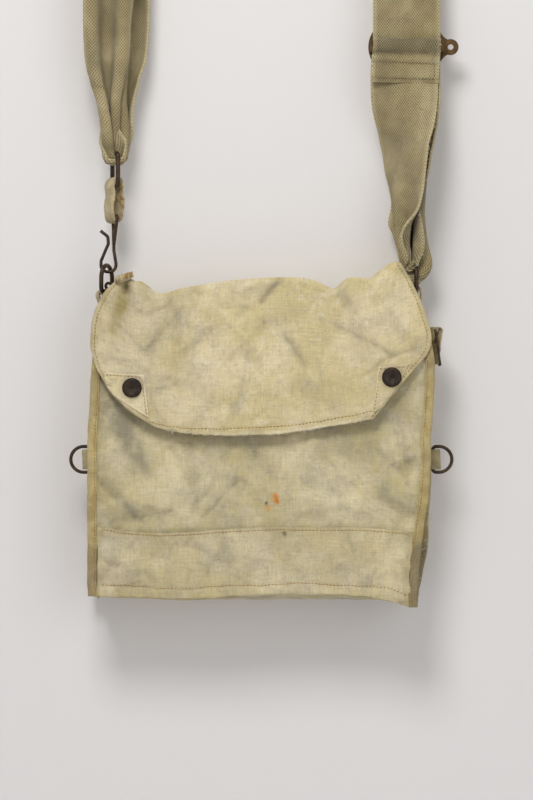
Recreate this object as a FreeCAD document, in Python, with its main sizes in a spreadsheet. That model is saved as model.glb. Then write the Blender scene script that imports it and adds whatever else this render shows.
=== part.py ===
"""A canvas shoulder satchel with a snap-down flap, loose D-rings and a webbing sling.

The origin is the centre of the bag's base. +Z is up, -Y is the flap side and +X is the side with
the sliding buckle. Sizes are in millimetres.
"""
import FreeCAD, Part
import math
import os
from types import SimpleNamespace

import Sketcher

os.makedirs("parts", exist_ok=True)
doc = FreeCAD.newDocument("satchel")
V = FreeCAD.Vector

DRIVING_DIMENSIONS = {
    # the bag: canvas plies, all measured over their outer faces
    "bag_width": 252,
    "back_height": 246,
    "front_height": 238,
    "base_depth": 52,
    "mouth_depth": 36,
    "canvas": 1.6,
    "light_canvas": 1.2,
    "seam_gap": 0.1,
    "band_height": 54,
    "hem_height": 16,
    "binding_width": 5,
    "binding_depth": 4.4,
    "patch_side": 30,
    # the flap
    "flap_gap": 5.4,
    "flap_top_width": 214,
    "flap_width": 260,
    "flap_straight_width": 175,
    "flap_drop": 118,
    "flap_arc_rise": 12,
    "flap_hem_height": 7,
    # the snaps, placed up from the panel's foot and out from its centre
    "left_snap_x": -99.5,
    "left_snap_height": 163.2,
    "right_snap_x": 100.4,
    "right_snap_height": 171.4,
    "cap_radius": 7.6,
    "shank_radius": 1.5,
    "hole_play": 0.1,
    # small metal rings and the tabs that hold them
    "ring_line": 3.6,
    "side_ring_height": 108,
    "side_ring_reach": 15,
    "side_ring_radius": 10,
    "side_wire": 1.3,
    "corner_ring_x": 120.2,
    "corner_bar_height": 238.5,
    "corner_ring_reach": 20.1,
    "corner_ring_radius": 10.3,
    "corner_wire": 1.7,
    "corner_ring_turn": 22,
    "keeper_x": 134.5,
    "keeper_height": 208,
    "keeper_width": 28,
    "keeper_reach": 27,
    "keeper_wire": 0.9,
    # the sling
    "strap_line": 12,
    "strap_x": 113,
    "webbing_width": 50.8,
    "webbing": 2.2,
    "arch_height": 590,
    "twist_start": 515,
    "slider_height": 428.5,
    "slider_opening": 52.4,
    "slider_plate": 1.6,
    "ear_x": 147.2,
    "ear_hole_radius": 2.2,
    "chain_x": -113.6,
    "strap_ring_top": 345.25,
    "strap_ring_drop": 24.5,
    "strap_ring_half_width": 10.25,
    "strap_ring_wire": 1.75,
    "strap_ring_turn": 14,
    "hook_eye_height": 297,
    "hook_wire": 1.25,
}


class Size:
    """A length that keeps both its value and the spreadsheet expression that gives it."""

    def __init__(self, value, text):
        self.value = value
        self.text = text

    def __add__(self, other):
        other = as_size(other)
        return Size(self.value + other.value, f"({self.text} + {other.text})")

    def __sub__(self, other):
        other = as_size(other)
        return Size(self.value - other.value, f"({self.text} - {other.text})")

    def __mul__(self, other):
        other = as_size(other)
        return Size(self.value * other.value, f"({self.text} * {other.text})")

    def __truediv__(self, other):
        other = as_size(other)
        return Size(self.value / other.value, f"({self.text} / {other.text})")

    def __radd__(self, other):
        return as_size(other) + self

    def __rsub__(self, other):
        return as_size(other) - self

    def __rmul__(self, other):
        return as_size(other) * self

    def __neg__(self):
        return Size(-self.value, f"(0 - {self.text})")


def as_size(amount):
    """Take a plain number as a Size with no cell behind it."""
    if isinstance(amount, Size):
        return amount
    return Size(float(amount), f"{float(amount):g}")


def make_sheet(dimensions):
    """Put every driving dimension in the sheet and hand back their Sizes by name."""
    sheet = doc.addObject("Spreadsheet::Sheet", "dims")
    sizes = {}
    for row, (alias, number) in enumerate(dimensions.items(), start=1):
        cell = f"A{row}"
        sheet.set(cell, str(number))
        sheet.setAlias(cell, alias)
        sizes[alias] = Size(float(number), f"dims.{alias}")
    doc.recompute()
    return SimpleNamespace(**sizes)


d = make_sheet(DRIVING_DIMENSIONS)

# Places that several pieces share
half_width = d.bag_width / 2
panel_half_width = half_width + 3
slot_half_width = panel_half_width + d.seam_gap * 2
binding_start = half_width + d.seam_gap
binding_end = half_width + d.binding_width
floor_top = d.canvas
panel_foot = d.canvas + d.seam_gap * 2
front_y = -d.base_depth / 2
back_inner_y = d.base_depth / 2 - d.canvas
back_outer_y = d.base_depth / 2
front_slope = (d.base_depth - d.mouth_depth) / d.front_height
flap_inner = -d.flap_gap
flap_outer = flap_inner - d.canvas
patch_outer = flap_outer - 1
fold_y = front_y + 11.6
fold_height = d.back_height + 0.4
SNAPS = {
    "left": (d.left_snap_x, d.left_snap_height),
    "right": (d.right_snap_x, d.right_snap_height),
}


# ---- sketches -------------------------------------------------------------------------------


def point(corner):
    return V(as_size(corner[0]).value, as_size(corner[1]).value, 0)


def fix(sketch, kind, side, vertex, amount):
    """Hold one vertex of a sketch at a distance from the origin."""
    amount = as_size(amount)
    if abs(amount.value) < 1e-9:
        axis = -2 if kind == "DistanceX" else -1
        sketch.addConstraint(Sketcher.Constraint("PointOnObject", side, vertex, axis))
        return
    index = sketch.addConstraint(Sketcher.Constraint(kind, -1, 1, side, vertex, amount.value))
    sketch.setExpression(f"Constraints[{index}]", amount.text)


def add_arc(sketch, start, stop, radius):
    """Add the short arc from start to stop. A negative radius curves it into the outline."""
    hollow = radius < 0
    if hollow:
        start, stop = stop, start
    chord = stop - start
    inward = V(-chord.y, chord.x, 0).normalize()
    rise = math.sqrt(radius ** 2 - (chord.Length / 2) ** 2)
    centre = (start + stop) * 0.5 + inward * rise
    first = math.atan2(start.y - centre.y, start.x - centre.x)
    last = math.atan2(stop.y - centre.y, stop.x - centre.x)
    if last < first:
        last += 2 * math.pi
    circle = Part.Circle(centre, V(0, 0, 1), abs(radius))
    sketch.addGeometry(Part.ArcOfCircle(circle, first, last), False)
    return (2, 1) if hollow else (1, 2)


def draw_outline(sketch, outline):
    """Draw a closed outline whose corners (x, y) go anticlockwise.

    A third number on a corner makes the side after it an arc of that radius.
    """
    first = sketch.GeometryCount
    ends = []
    for number, corner in enumerate(outline):
        start = point(corner)
        stop = point(outline[(number + 1) % len(outline)])
        if len(corner) == 3:
            ends.append(add_arc(sketch, start, stop, as_size(corner[2]).value))
        else:
            sketch.addGeometry(Part.LineSegment(start, stop), False)
            ends.append((1, 2))
    for number, corner in enumerate(outline):
        side = first + number
        following = (number + 1) % len(outline)
        sketch.addConstraint(
            Sketcher.Constraint("Coincident", side, ends[number][1], first + following, ends[following][0])
        )
        fix(sketch, "DistanceX", side, ends[number][0], corner[0])
        fix(sketch, "DistanceY", side, ends[number][0], corner[1])
        if len(corner) == 3:
            radius = as_size(corner[2])
            index = sketch.addConstraint(Sketcher.Constraint("Radius", side, abs(radius.value)))
            sketch.setExpression(f"Constraints[{index}]", f"abs({radius.text})")


def draw_circle(sketch, x, y, radius):
    side = sketch.GeometryCount
    radius = as_size(radius)
    sketch.addGeometry(Part.Circle(point((x, y)), V(0, 0, 1), radius.value), False)
    fix(sketch, "DistanceX", side, 3, x)
    fix(sketch, "DistanceY", side, 3, y)
    index = sketch.addConstraint(Sketcher.Constraint("Radius", side, radius.value))
    sketch.setExpression(f"Constraints[{index}]", radius.text)


def rounded_box(left, right, low, high, corner):
    """The outline of a rectangle with round corners."""
    return [
        (left + corner, low),
        (right - corner, low, corner),
        (right, low + corner),
        (right, high - corner, corner),
        (right - corner, high),
        (left + corner, high, corner),
        (left, high - corner),
        (left, low + corner, corner),
    ]


def plain_box(left, right, low, high):
    return [(left, low), (right, low), (right, high), (left, high)]


def d_outline(reach, radius, corner):
    """A D lying open to +x: its straight bar is on x = 0 and its bow is a half circle."""
    bow = reach - radius
    return [
        (corner, -radius),
        (bow, -radius, radius),
        (reach, 0, radius),
        (bow, radius),
        (corner, radius, corner),
        (0, radius - corner),
        (0, corner - radius, corner),
    ]


# ---- bodies ---------------------------------------------------------------------------------


def new_body(label):
    body = doc.addObject("PartDesign::Body", label)
    body.Label = label
    body.AllowCompound = True
    return body


def bind_offset(sketch, axis, amount):
    amount = as_size(amount)
    offset = sketch.AttachmentOffset
    setattr(offset.Base, axis, amount.value)
    sketch.AttachmentOffset = offset
    sketch.setExpression(f"AttachmentOffset.Base.{axis}", amount.text)


def new_sketch(body, name, plane):
    """A sketch on one of the body's own origin planes."""
    sketch = body.newObject("Sketcher::SketchObject", f"{body.Label}_{name}")
    support = [feature for feature in body.Origin.OriginFeatures if feature.Role == plane][0]
    sketch.AttachmentSupport = [(support, "")]
    sketch.MapMode = "FlatFace"
    return sketch


def add_plate(body, name, plane, start, end, outline, windows=(), holes=()):
    """Pad an outline from start to end along the world axis that its plane faces."""
    faces_minus_y = plane == "XZ_Plane"
    sketch = new_sketch(body, name, plane)
    bind_offset(sketch, "z", -as_size(start) if faces_minus_y else start)
    draw_outline(sketch, outline)
    for window in windows:
        draw_outline(sketch, window)
    for hole in holes:
        draw_circle(sketch, *hole)
    pad = body.newObject("PartDesign::Pad", f"{body.Label}_{name}_pad")
    pad.Profile = sketch
    thickness = as_size(end) - start
    pad.Length = thickness.value
    pad.setExpression("Length", thickness.text)
    pad.Reversed = faces_minus_y
    return pad


def plate(label, plane, start, end, outline, windows=(), holes=()):
    """A body that is one flat plate."""
    body = new_body(label)
    add_plate(body, "outline", plane, start, end, outline, windows, holes)
    return body


def add_turned(body, name, centre, outline, axis="V_Axis"):
    """Turn an outline about its own x or y axis through centre."""
    sketch = new_sketch(body, name, "XY_Plane")
    for direction, amount in zip("xyz", centre):
        bind_offset(sketch, direction, amount)
    draw_outline(sketch, outline)
    turned = body.newObject("PartDesign::Revolution", f"{body.Label}_{name}_turned")
    turned.Profile = sketch
    turned.ReferenceAxis = (sketch, [axis])
    turned.Angle = 360


def bent_wire_ring(label, wire, outline):
    """A closed loop of round wire whose straight bar stands on the body's own z axis."""
    body = new_body(label)
    spine = new_sketch(body, "spine", "XZ_Plane")
    draw_outline(spine, outline)
    section = new_sketch(body, "section", "XY_Plane")
    draw_circle(section, 0, 0, wire)
    pipe = body.newObject("PartDesign::AdditivePipe", f"{label}_pipe")
    pipe.Profile = section
    pipe.Spine = (spine, [f"Edge{number + 1}" for number in range(len(outline))])
    return body


def seat(body, x, y, z, rotation=FreeCAD.Rotation()):
    """Place a body and bind where it stands."""
    place = [as_size(x), as_size(y), as_size(z)]
    body.Placement = FreeCAD.Placement(V(*[amount.value for amount in place]), rotation)
    for axis, amount in zip("xyz", place):
        body.setExpression(f"Placement.Base.{axis}", amount.text)


def lean_on_front(body):
    """Seat a body, built flat on y = 0, against the front panel's leaning outer face."""
    lean = math.degrees(math.atan(front_slope.value))
    body.Placement = FreeCAD.Placement(V(0, front_y.value, 0), FreeCAD.Rotation(V(-1, 0, 0), lean))
    body.setExpression("Placement.Base.y", front_y.text)
    body.setExpression("Placement.Rotation.Angle", f"atan({front_slope.text})")
    return body


def mirrored(source, label):
    """The same piece on the bag's other side."""
    twin = doc.addObject("Part::Mirroring", label)
    twin.Label = label
    twin.Source = source
    twin.Normal = V(1, 0, 0)
    twin.Base = V(0, 0, 0)
    return twin


# ---- the bag's canvas -----------------------------------------------------------------------


def back_panel():
    outline = plain_box(-panel_half_width, panel_half_width, floor_top, d.back_height)
    return plate("back_panel", "XZ_Plane", back_inner_y, back_outer_y, outline)


def stud_holes():
    return [(x, height, d.shank_radius + d.hole_play) for x, height in SNAPS.values()]


def front_panel():
    outline = plain_box(-panel_half_width, panel_half_width, panel_foot, d.front_height)
    return lean_on_front(plate("front_panel", "XZ_Plane", 0, d.canvas, outline, holes=stud_holes()))


def front_lower_band():
    outline = plain_box(-half_width, half_width, panel_foot, d.band_height)
    return lean_on_front(plate("front_lower_band", "XZ_Plane", -d.light_canvas, 0, outline))


def front_hem():
    """The mouth's edge, turned to the inside between the gussets."""
    half = half_width - d.canvas - 0.4
    outline = plain_box(-half, half, d.front_height - d.hem_height, d.front_height)
    return lean_on_front(plate("front_hem", "XZ_Plane", d.canvas, d.canvas + d.light_canvas, outline))


def stud_patches():
    """Square pieces inside the front panel that back the two studs."""
    body = new_body("stud_patches")
    reach = d.patch_side / 2
    for side, (x, height) in SNAPS.items():
        outline = plain_box(x - reach, x + reach, height - reach, height + reach)
        hole = (x, height, d.shank_radius + d.hole_play)
        add_plate(body, side, "XZ_Plane", d.canvas, d.canvas + d.light_canvas, outline, holes=[hole])
    return lean_on_front(body)


def gusset_right():
    """The side wall, cut to the bag's taper, with a hole for the ring tab's rivet."""
    foot_y = front_y + d.canvas + 0.3
    high = d.front_height - 2
    mouth_y = foot_y + front_slope * high
    rear = back_inner_y - d.seam_gap
    outline = [(foot_y, floor_top), (rear, floor_top), (rear, high), (mouth_y, high)]
    hole = (d.strap_line, tab_rivet_height, tab_rivet_radius + d.hole_play)
    return plate("gusset_right", "YZ_Plane", half_width - d.canvas, half_width, outline, holes=[hole])


def bottom_panel():
    outline = plain_box(-half_width, half_width, front_y - d.light_canvas, back_outer_y)
    return plate("bottom_panel", "XY_Plane", 0, d.canvas, outline)


def binding_outline(front, slot_start):
    """A folded tape seen from above: a U whose slot takes the edge of a panel."""
    rear = front + d.binding_depth
    slot_front = slot_start - d.seam_gap
    slot_rear = slot_start + d.canvas + d.seam_gap
    return [
        (binding_start, front),
        (binding_end, front),
        (binding_end, rear),
        (binding_start, rear),
        (binding_start, slot_rear),
        (slot_half_width, slot_rear),
        (slot_half_width, slot_front),
        (binding_start, slot_front),
    ]


def binding_front_right():
    outline = binding_outline(-d.canvas, 0)
    return lean_on_front(plate("binding_front_right", "XY_Plane", panel_foot, d.front_height, outline))


def binding_back_right():
    outline = binding_outline(back_inner_y - 1.4, back_inner_y)
    return plate("binding_back_right", "XY_Plane", floor_top, d.back_height, outline)


# ---- snaps ----------------------------------------------------------------------------------


def snap_studs():
    """Posts on the front panel that the flap's sockets press over."""
    post_radius = d.shank_radius * 2
    flange_radius = 5.5
    tip = -4.2
    flange = -0.8
    inner_end = d.canvas + d.light_canvas + 0.8
    outline = [
        (0, tip),
        (post_radius, tip),
        (post_radius, flange),
        (flange_radius, flange),
        (flange_radius, 0),
        (d.shank_radius, 0),
        (d.shank_radius, inner_end),
        (0, inner_end),
    ]
    body = new_body("snap_studs")
    for side, (x, height) in SNAPS.items():
        add_turned(body, side, (x, 0, height), outline)
    return lean_on_front(body)


def snap_stud_washers():
    inner = d.canvas + d.light_canvas
    outline = plain_box(d.shank_radius + 0.05, 5, inner, inner + 0.8)
    body = new_body("snap_stud_washers")
    for side, (x, height) in SNAPS.items():
        add_turned(body, side, (x, 0, height), outline)
    return lean_on_front(body)


def snap_caps():
    """Dished caps outside the flap, each with the shank that ties it to its socket."""
    rim = patch_outer - 2
    dish_radius = d.cap_radius - 2.6
    dish = rim + 0.9
    shank_end = flap_inner + 0.8
    outline = [
        (0, dish),
        (dish_radius, rim),
        (d.cap_radius - 1.4, rim, 1.6),
        (d.cap_radius, patch_outer - 0.7),
        (d.cap_radius, patch_outer),
        (d.shank_radius, patch_outer),
        (d.shank_radius, shank_end),
        (0, shank_end),
    ]
    body = new_body("snap_caps")
    for side, (x, height) in SNAPS.items():
        add_turned(body, side, (x, 0, height), outline)
    return lean_on_front(body)


def snap_sockets():
    """Cups inside the flap, open towards the studs."""
    cup_radius = 6.2
    bore_radius = 3.8
    cup_floor = flap_inner + 0.8
    mouth = -1.6
    outline = [
        (d.shank_radius + 0.05, flap_inner),
        (cup_radius, flap_inner),
        (cup_radius, mouth),
        (bore_radius, mouth),
        (bore_radius, cup_floor),
        (d.shank_radius + 0.05, cup_floor),
    ]
    body = new_body("snap_sockets")
    for side, (x, height) in SNAPS.items():
        add_turned(body, side, (x, 0, height), outline)
    return lean_on_front(body)


# ---- the flap -------------------------------------------------------------------------------

flap_top_edge = d.back_height
flap_half = d.flap_width / 2
flap_straight = d.flap_straight_width / 2
flap_foot = flap_top_edge - d.flap_drop
flap_corner = flap_foot + d.flap_arc_rise
flap_arc = (flap_straight * flap_straight + d.flap_arc_rise * d.flap_arc_rise) / (d.flap_arc_rise * 2)
diagonal_x = flap_half - 17
diagonal_height = flap_corner + 18


def flap_top():
    """The panel that folds forward from the bag's back edge over its mouth."""
    half = d.flap_top_width / 2
    outline = plain_box(-half, half, fold_y, back_outer_y - 0.8)
    return plate("flap_top", "XY_Plane", fold_height, fold_height + d.canvas, outline)


def flap_apron():
    """The hanging face of the flap: cut-off lower corners and a gently bowed lower edge."""
    half_top = d.flap_top_width / 2
    shoulder = flap_top_edge - 24
    outline = [
        (-flap_straight, flap_corner, flap_arc),
        (flap_straight, flap_corner),
        (diagonal_x, diagonal_height),
        (flap_half, flap_top_edge - 57),
        (flap_half, flap_top_edge - 46),
        (flap_half - 4.5, shoulder),
        (half_top, flap_top_edge),
        (-half_top, flap_top_edge),
        (4.5 - flap_half, shoulder),
        (-flap_half, flap_top_edge - 46),
        (-flap_half, flap_top_edge - 57),
        (-diagonal_x, diagonal_height),
    ]
    return lean_on_front(plate("flap_apron", "XZ_Plane", flap_outer, flap_inner, outline, holes=stud_holes()))


def flap_hem():
    """The lower edge turned to the inside, following the bow."""
    inset = 0.5
    half = flap_straight - 2
    low = flap_corner + inset
    high = low + d.flap_hem_height
    outline = [(-half, low, flap_arc), (half, low), (half, high, -flap_arc), (-half, high)]
    return lean_on_front(plate("flap_hem", "XZ_Plane", flap_inner, flap_inner + d.light_canvas, outline))


def flap_patch(side, top_inner, top_outer):
    """A corner patch under one cap. It follows the flap's cut-off corner."""
    x, height = SNAPS[side]
    lower_inner = (flap_straight, flap_corner + 0.4)
    lower_outer = (diagonal_x - 0.4, diagonal_height)
    corners = [lower_inner, lower_outer, top_outer, top_inner]
    if side == "left":
        corners = [(-as_size(across), up) for across, up in reversed(corners)]
    hole = (x, height, d.shank_radius + d.hole_play)
    return lean_on_front(
        plate(f"flap_patch_{side}", "XZ_Plane", patch_outer, flap_outer, corners, holes=[hole])
    )


def flap_patch_left():
    return flap_patch("left", (88.5, 173.6), (121.4, 174.8))


def flap_patch_right():
    return flap_patch("right", (89.2, 179.6), (114, 183.5))


# ---- rings and their tabs -------------------------------------------------------------------

tab_rivet_height = 219
tab_rivet_radius = 1.2
corner_loop_radius = 4.2
corner_tab_half_depth = 3.5
quarter_turn_to_depth = FreeCAD.Rotation(V(0, 0, 1), V(1, 0, 0), V(0, 1, 0), "ZXY")


def side_tab_right():
    """A folded tape sewn to the gusset. The side ring's bar lies in its slot."""
    start = half_width + 0.05
    end = start + 12.8
    half = as_size(3.2)
    slot_half = 1.6
    low = d.side_ring_height - 7
    high = d.side_ring_height + 7
    front = d.ring_line - half
    rear = d.ring_line + half
    outline = rounded_box(start, end, front, rear, as_size(1.5))
    slot = plain_box(start + 1, end - 1.6, d.ring_line - slot_half, d.ring_line + slot_half)
    return plate("side_tab_right", "XY_Plane", low, high, outline, windows=[slot])


def side_ring_right():
    ring = bent_wire_ring(
        "side_ring_right", d.side_wire, d_outline(d.side_ring_reach, d.side_ring_radius, as_size(3))
    )
    seat(ring, half_width + 6.7, d.ring_line, d.side_ring_height)
    return ring


def corner_tab_right():
    """A folded tape riveted inside the gusset. Its rolled top carries the corner ring."""
    x = d.corner_ring_x
    z = d.corner_bar_height
    roll = as_size(corner_loop_radius)
    gusset_face = half_width - d.canvas - 0.05
    foot = z - 23.5
    neck = z - 10
    ply = 2.4
    outline = [
        (gusset_face - ply, foot),
        (gusset_face, foot),
        (gusset_face, z - 1.2),
        (x + roll - 0.05, z, roll),
        (x, z + roll, roll),
        (x - roll, z),
        (gusset_face - ply, neck),
    ]
    half_depth = corner_tab_half_depth
    slot_half = 3.5
    slot_rise = d.corner_wire + 0.5
    body = new_body("corner_tab_right")
    profile = new_sketch(body, "outline", "XZ_Plane")
    bind_offset(profile, "z", -(d.strap_line - half_depth))
    draw_outline(profile, outline)
    draw_outline(profile, rounded_box(x - slot_half, x + slot_half, z - slot_rise, z + slot_rise, as_size(2)))
    pad = body.newObject("PartDesign::Pad", "corner_tab_right_pad")
    pad.Profile = profile
    pad.Length = 2 * half_depth
    pad.Reversed = True
    doc.recompute()
    drill = new_sketch(body, "rivet_hole", "YZ_Plane")
    bind_offset(drill, "z", x - roll)
    draw_circle(drill, d.strap_line, tab_rivet_height, tab_rivet_radius + d.hole_play)
    pocket = body.newObject("PartDesign::Pocket", "corner_tab_right_hole")
    pocket.Profile = drill
    pocket.Type = "ThroughAll"
    pocket.Reversed = True
    return body


def tab_rivet_right():
    """A small tubular rivet through the corner tab and the gusset."""
    inner_face = half_width - d.canvas - 2.45
    head_radius = 3
    head = 0.7
    outline = [
        (inner_face - head, 0),
        (half_width + head, 0),
        (half_width + head, head_radius),
        (half_width, head_radius),
        (half_width, tab_rivet_radius),
        (inner_face, tab_rivet_radius),
        (inner_face, head_radius),
        (inner_face - head, head_radius),
    ]
    body = new_body("tab_rivet_right")
    add_turned(body, "shank", (0, d.strap_line, tab_rivet_height), outline, "H_Axis")
    return body


def corner_ring(label, x, turn):
    """A D-ring standing on its bar, turned about the vertical from the fore-and-aft plane."""
    outline = d_outline(d.corner_ring_reach, d.corner_ring_radius, as_size(3))
    ring = bent_wire_ring(label, d.corner_wire, outline)
    turned = FreeCAD.Rotation(V(0, 0, 1), turn).multiply(quarter_turn_to_depth)
    seat(ring, x, d.strap_line, d.corner_bar_height, turned)
    return ring


def corner_ring_right():
    return corner_ring("corner_ring_right", d.corner_ring_x, 0)


def corner_ring_left():
    return corner_ring("corner_ring_left", -d.corner_ring_x, -d.corner_ring_turn.value)


def corner_eyelet():
    """A small eyelet set in the front of the left corner tab."""
    front = d.strap_line - corner_tab_half_depth - 1.3
    outline = plain_box(as_size(1.1), as_size(3.3), front, front + 1.2)
    body = new_body("corner_eyelet")
    add_turned(body, "rim", (1.6 - d.corner_ring_x, 0, d.corner_bar_height + 4), outline)
    return body


def keeper_tab():
    """A folded tape on the right gusset that carries the wire keeper."""
    start = half_width + 0.05
    roll = as_size(2.6)
    z = d.keeper_height
    x = d.keeper_x
    ply = 2.2
    foot = z - 18
    outline = [
        (start, foot),
        (start + ply, foot),
        (start + ply, z - 8),
        (x + roll, z, roll),
        (x, z + roll, roll),
        (x - roll, z),
        (start, z - 4),
    ]
    hole = (x, z, d.keeper_wire + 0.3)
    return plate(
        "keeper_tab", "XZ_Plane", d.ring_line - 9, d.ring_line + 9, outline, holes=[hole]
    )


def keeper_loop():
    """A rectangular wire loop that hangs from its tab, its foot a little outward."""
    half = d.keeper_width / 2 - 2
    outline = rounded_box(as_size(0), d.keeper_reach, -half, half, as_size(2))
    ring = bent_wire_ring("keeper_loop", d.keeper_wire, outline)
    hanging = FreeCAD.Rotation(V(0, 0, -1), V(-1, 0, 0), V(0, 1, 0), "ZXY")
    tilt = FreeCAD.Rotation(V(0, -1, 0), 8)
    seat(ring, d.keeper_x, d.ring_line, d.keeper_height, tilt.multiply(hanging))
    return ring


# ---- the sling ------------------------------------------------------------------------------

slider_half_height = 12
slider_half = d.slider_opening / 2
slider_bar_front = d.strap_line - 6.1
slider_bar_rear = slider_bar_front + 2.2
slider_plate_front = d.strap_line + 2.1


def slider_frame():
    """The flat buckle behind the webbing: one rounded end, and hollow shoulders that run to an eared lug."""
    x = d.strap_x
    z = d.slider_height
    top = z + slider_half_height
    foot = z - slider_half_height
    shoulder = x + slider_half - 0.2
    shoulder_curve = 14
    ear_radius = 6.2
    ear_root = 5.8
    root_x = d.ear_x - math.sqrt(ear_radius ** 2 - ear_root ** 2)
    end_bulge = 3.6
    end_arc = (slider_half_height ** 2 + end_bulge ** 2) / (2 * end_bulge)
    outline = [
        (x - slider_half, foot),
        (shoulder, foot, as_size(-shoulder_curve)),
        (root_x, z - ear_root, ear_radius),
        (d.ear_x + ear_radius, z, ear_radius),
        (root_x, z + ear_root, as_size(-shoulder_curve)),
        (shoulder, top),
        (x - slider_half, top, end_arc),
    ]
    window = rounded_box(
        x - slider_half, x + slider_half, foot + 3.5, top - 3.5, as_size(1.5)
    )
    ear_hole = (d.ear_x, z, d.ear_hole_radius)
    return plate(
        "slider_frame",
        "XZ_Plane",
        slider_plate_front,
        slider_plate_front + d.slider_plate,
        outline,
        windows=[window],
        holes=[ear_hole],
    )


def slider_bar():
    """The staple that stands off the buckle's front and carries the sewn wrap."""
    x = d.strap_x
    leg = 2.5
    left = x - slider_half - leg
    right = x + slider_half + leg
    outline = [
        (left, slider_bar_front),
        (right, slider_bar_front),
        (right, slider_plate_front),
        (right - leg, slider_plate_front),
        (right - leg, slider_bar_rear),
        (left + leg, slider_bar_rear),
        (left + leg, slider_plate_front),
        (left, slider_plate_front),
    ]
    return plate("slider_bar", "XY_Plane", d.slider_height - 4, d.slider_height + 4, outline)


def strap_return():
    """The webbing's end: it hangs from the buckle's bar and is sewn back on itself."""
    z = d.slider_height
    front = slider_bar_front - 2.5
    rear = slider_bar_rear + 2.3
    middle = (front + rear) / 2 - 0.5
    wrap_low = z - 8
    wrap_high = z + 8
    sewn_low = z - 28.5
    outline = [
        (middle - 1.1, z - 93.5),
        (middle + 1.1, z - 93.5),
        (middle + 1.1, sewn_low),
        (middle + 2.8, sewn_low),
        (middle + 2.8, wrap_low),
        (rear, wrap_low + 2),
        (rear, wrap_high - 2),
        (rear - 2, wrap_high),
        (front + 2, wrap_high),
        (front, wrap_high - 2),
        (front, wrap_low + 2),
        (middle - 2, wrap_low),
        (middle - 2, sewn_low),
        (middle - 1.1, sewn_low),
    ]
    slot = plain_box(slider_bar_front - 0.3, slider_bar_rear + 0.3, z - 4.4, z + 4.4)
    half = d.webbing_width / 2
    return plate("strap_return", "YZ_Plane", d.strap_x - half, d.strap_x + half, outline, windows=[slot])


def strap_ring_left():
    drop = d.strap_ring_drop
    half = d.strap_ring_half_width
    outline = rounded_box(as_size(0), drop, -half, half, as_size(3))
    ring = bent_wire_ring("strap_ring_left", d.strap_ring_wire, outline)
    low_bar = d.strap_ring_top - drop
    turned = FreeCAD.Rotation(V(0, 0, 1), d.strap_ring_turn.value).multiply(quarter_turn_to_depth)
    seat(ring, d.chain_x, d.strap_line, low_bar, turned)
    return ring


def hook_tab():
    """A short folded tape with the ring's bar through one end and the hook's eye in the other."""
    x = d.chain_x
    low = d.hook_eye_height
    high = d.strap_ring_top - d.strap_ring_drop
    roll = as_size(5.2)
    outline = [
        (x, low - roll, roll),
        (x + roll, low),
        (x + roll, high, roll),
        (x, high + roll, roll),
        (x - roll, high),
        (x - roll, low, roll),
    ]
    bore = 3.2
    holes = [(x, low, bore), (x, high, bore)]
    return plate("hook_tab", "XZ_Plane", d.strap_line - 5, d.strap_line + 5, outline, holes=holes)


def straight_bar(start, stop, radius):
    return Part.makeCylinder(radius, (stop - start).Length, start, stop - start)


def round_bar(points, bends, radius):
    """A bar of round wire through the points, with a round bend at each inner one."""
    runs = []
    last = points[0]
    for before, corner, after, bend in zip(points, points[1:], points[2:], bends):
        arriving = (corner - before).normalize()
        leaving = (after - corner).normalize()
        turn = arriving.getAngle(leaving)
        trim = bend * math.tan(turn / 2)
        start = corner - arriving * trim
        centre = corner + (leaving - arriving).normalize() * (bend / math.cos(turn / 2))
        runs.append(straight_bar(last, start, radius))
        disc = Part.Face(Part.Wire(Part.Circle(start, arriving, radius).toShape()))
        runs.append(disc.revolve(centre, arriving.cross(leaving), math.degrees(turn)))
        last = corner + leaving * trim
    runs.append(straight_bar(last, points[-1], radius))
    return runs


def strap_hook():
    """An open wire hook. A three-cornered eye holds its tab, and its tongue springs outward."""
    x = d.chain_x.value
    y = d.strap_line.value
    eye = d.hook_eye_height.value
    wire = d.hook_wire.value
    join = eye - 22
    eye_half = 8.5
    leg_gap = 0.5
    bend_half = 5.8
    bend_x = x - 5.2
    foot = eye - 43.4
    side = FreeCAD.Rotation(V(0, 0, 1), d.strap_ring_turn.value).multVec(V(0, 1, 0))
    eye_points = [
        V(x - 1, y, join) - side * leg_gap,
        V(x, y, eye) - side * eye_half,
        V(x, y, eye) + side * eye_half,
        V(x - 1, y, join) + side * leg_gap,
    ]
    hook_points = [
        V(x - 1, y, join + 2),
        V(x - 1, y, join - 5),
        V(bend_x + bend_half, y, foot + 6.8),
        V(bend_x + bend_half, y, foot),
        V(bend_x - bend_half, y, foot),
        V(bend_x - bend_half, y, foot + 8.4),
        V(bend_x - 0.1, y, join + 0.5),
        V(bend_x - 0.5, y, join + 6),
        V(bend_x - 6.2, y, join + 10.5),
    ]
    runs = round_bar(eye_points, [2, 2], wire)
    runs += round_bar(hook_points, [3, 3, 5.2, 5.2, 3, 3, 3], wire)
    hook = doc.addObject("Part::Feature", "strap_hook")
    hook.Label = "strap_hook"
    hook.Shape = runs[0].multiFuse(runs[1:]).removeSplitter()
    hook.Placement = FreeCAD.Placement()
    return hook


def webbing_section(x, z, heading, width, thickness, twist=0, y=None):
    """A rectangle of webbing across a path in the sling's plane.

    heading is the path's direction up from +x, and twist turns the flat face about the path.
    """
    centre = V(x, d.strap_line.value if y is None else y, z)
    along = V(math.cos(heading), 0, math.sin(heading))
    across = FreeCAD.Rotation(along, math.degrees(twist)).multVec(V(-along.z, 0, along.x))
    through = along.cross(across)
    corners = []
    for side, face in ((-1, -1), (1, -1), (1, 1), (-1, 1)):
        corners.append(centre + across * (side * width / 2) + through * (face * thickness / 2))
    return Part.makePolygon(corners + corners[:1])


def smooth_step(share):
    share = max(0.0, min(1.0, share))
    return share * share * (3 - 2 * share)


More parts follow.
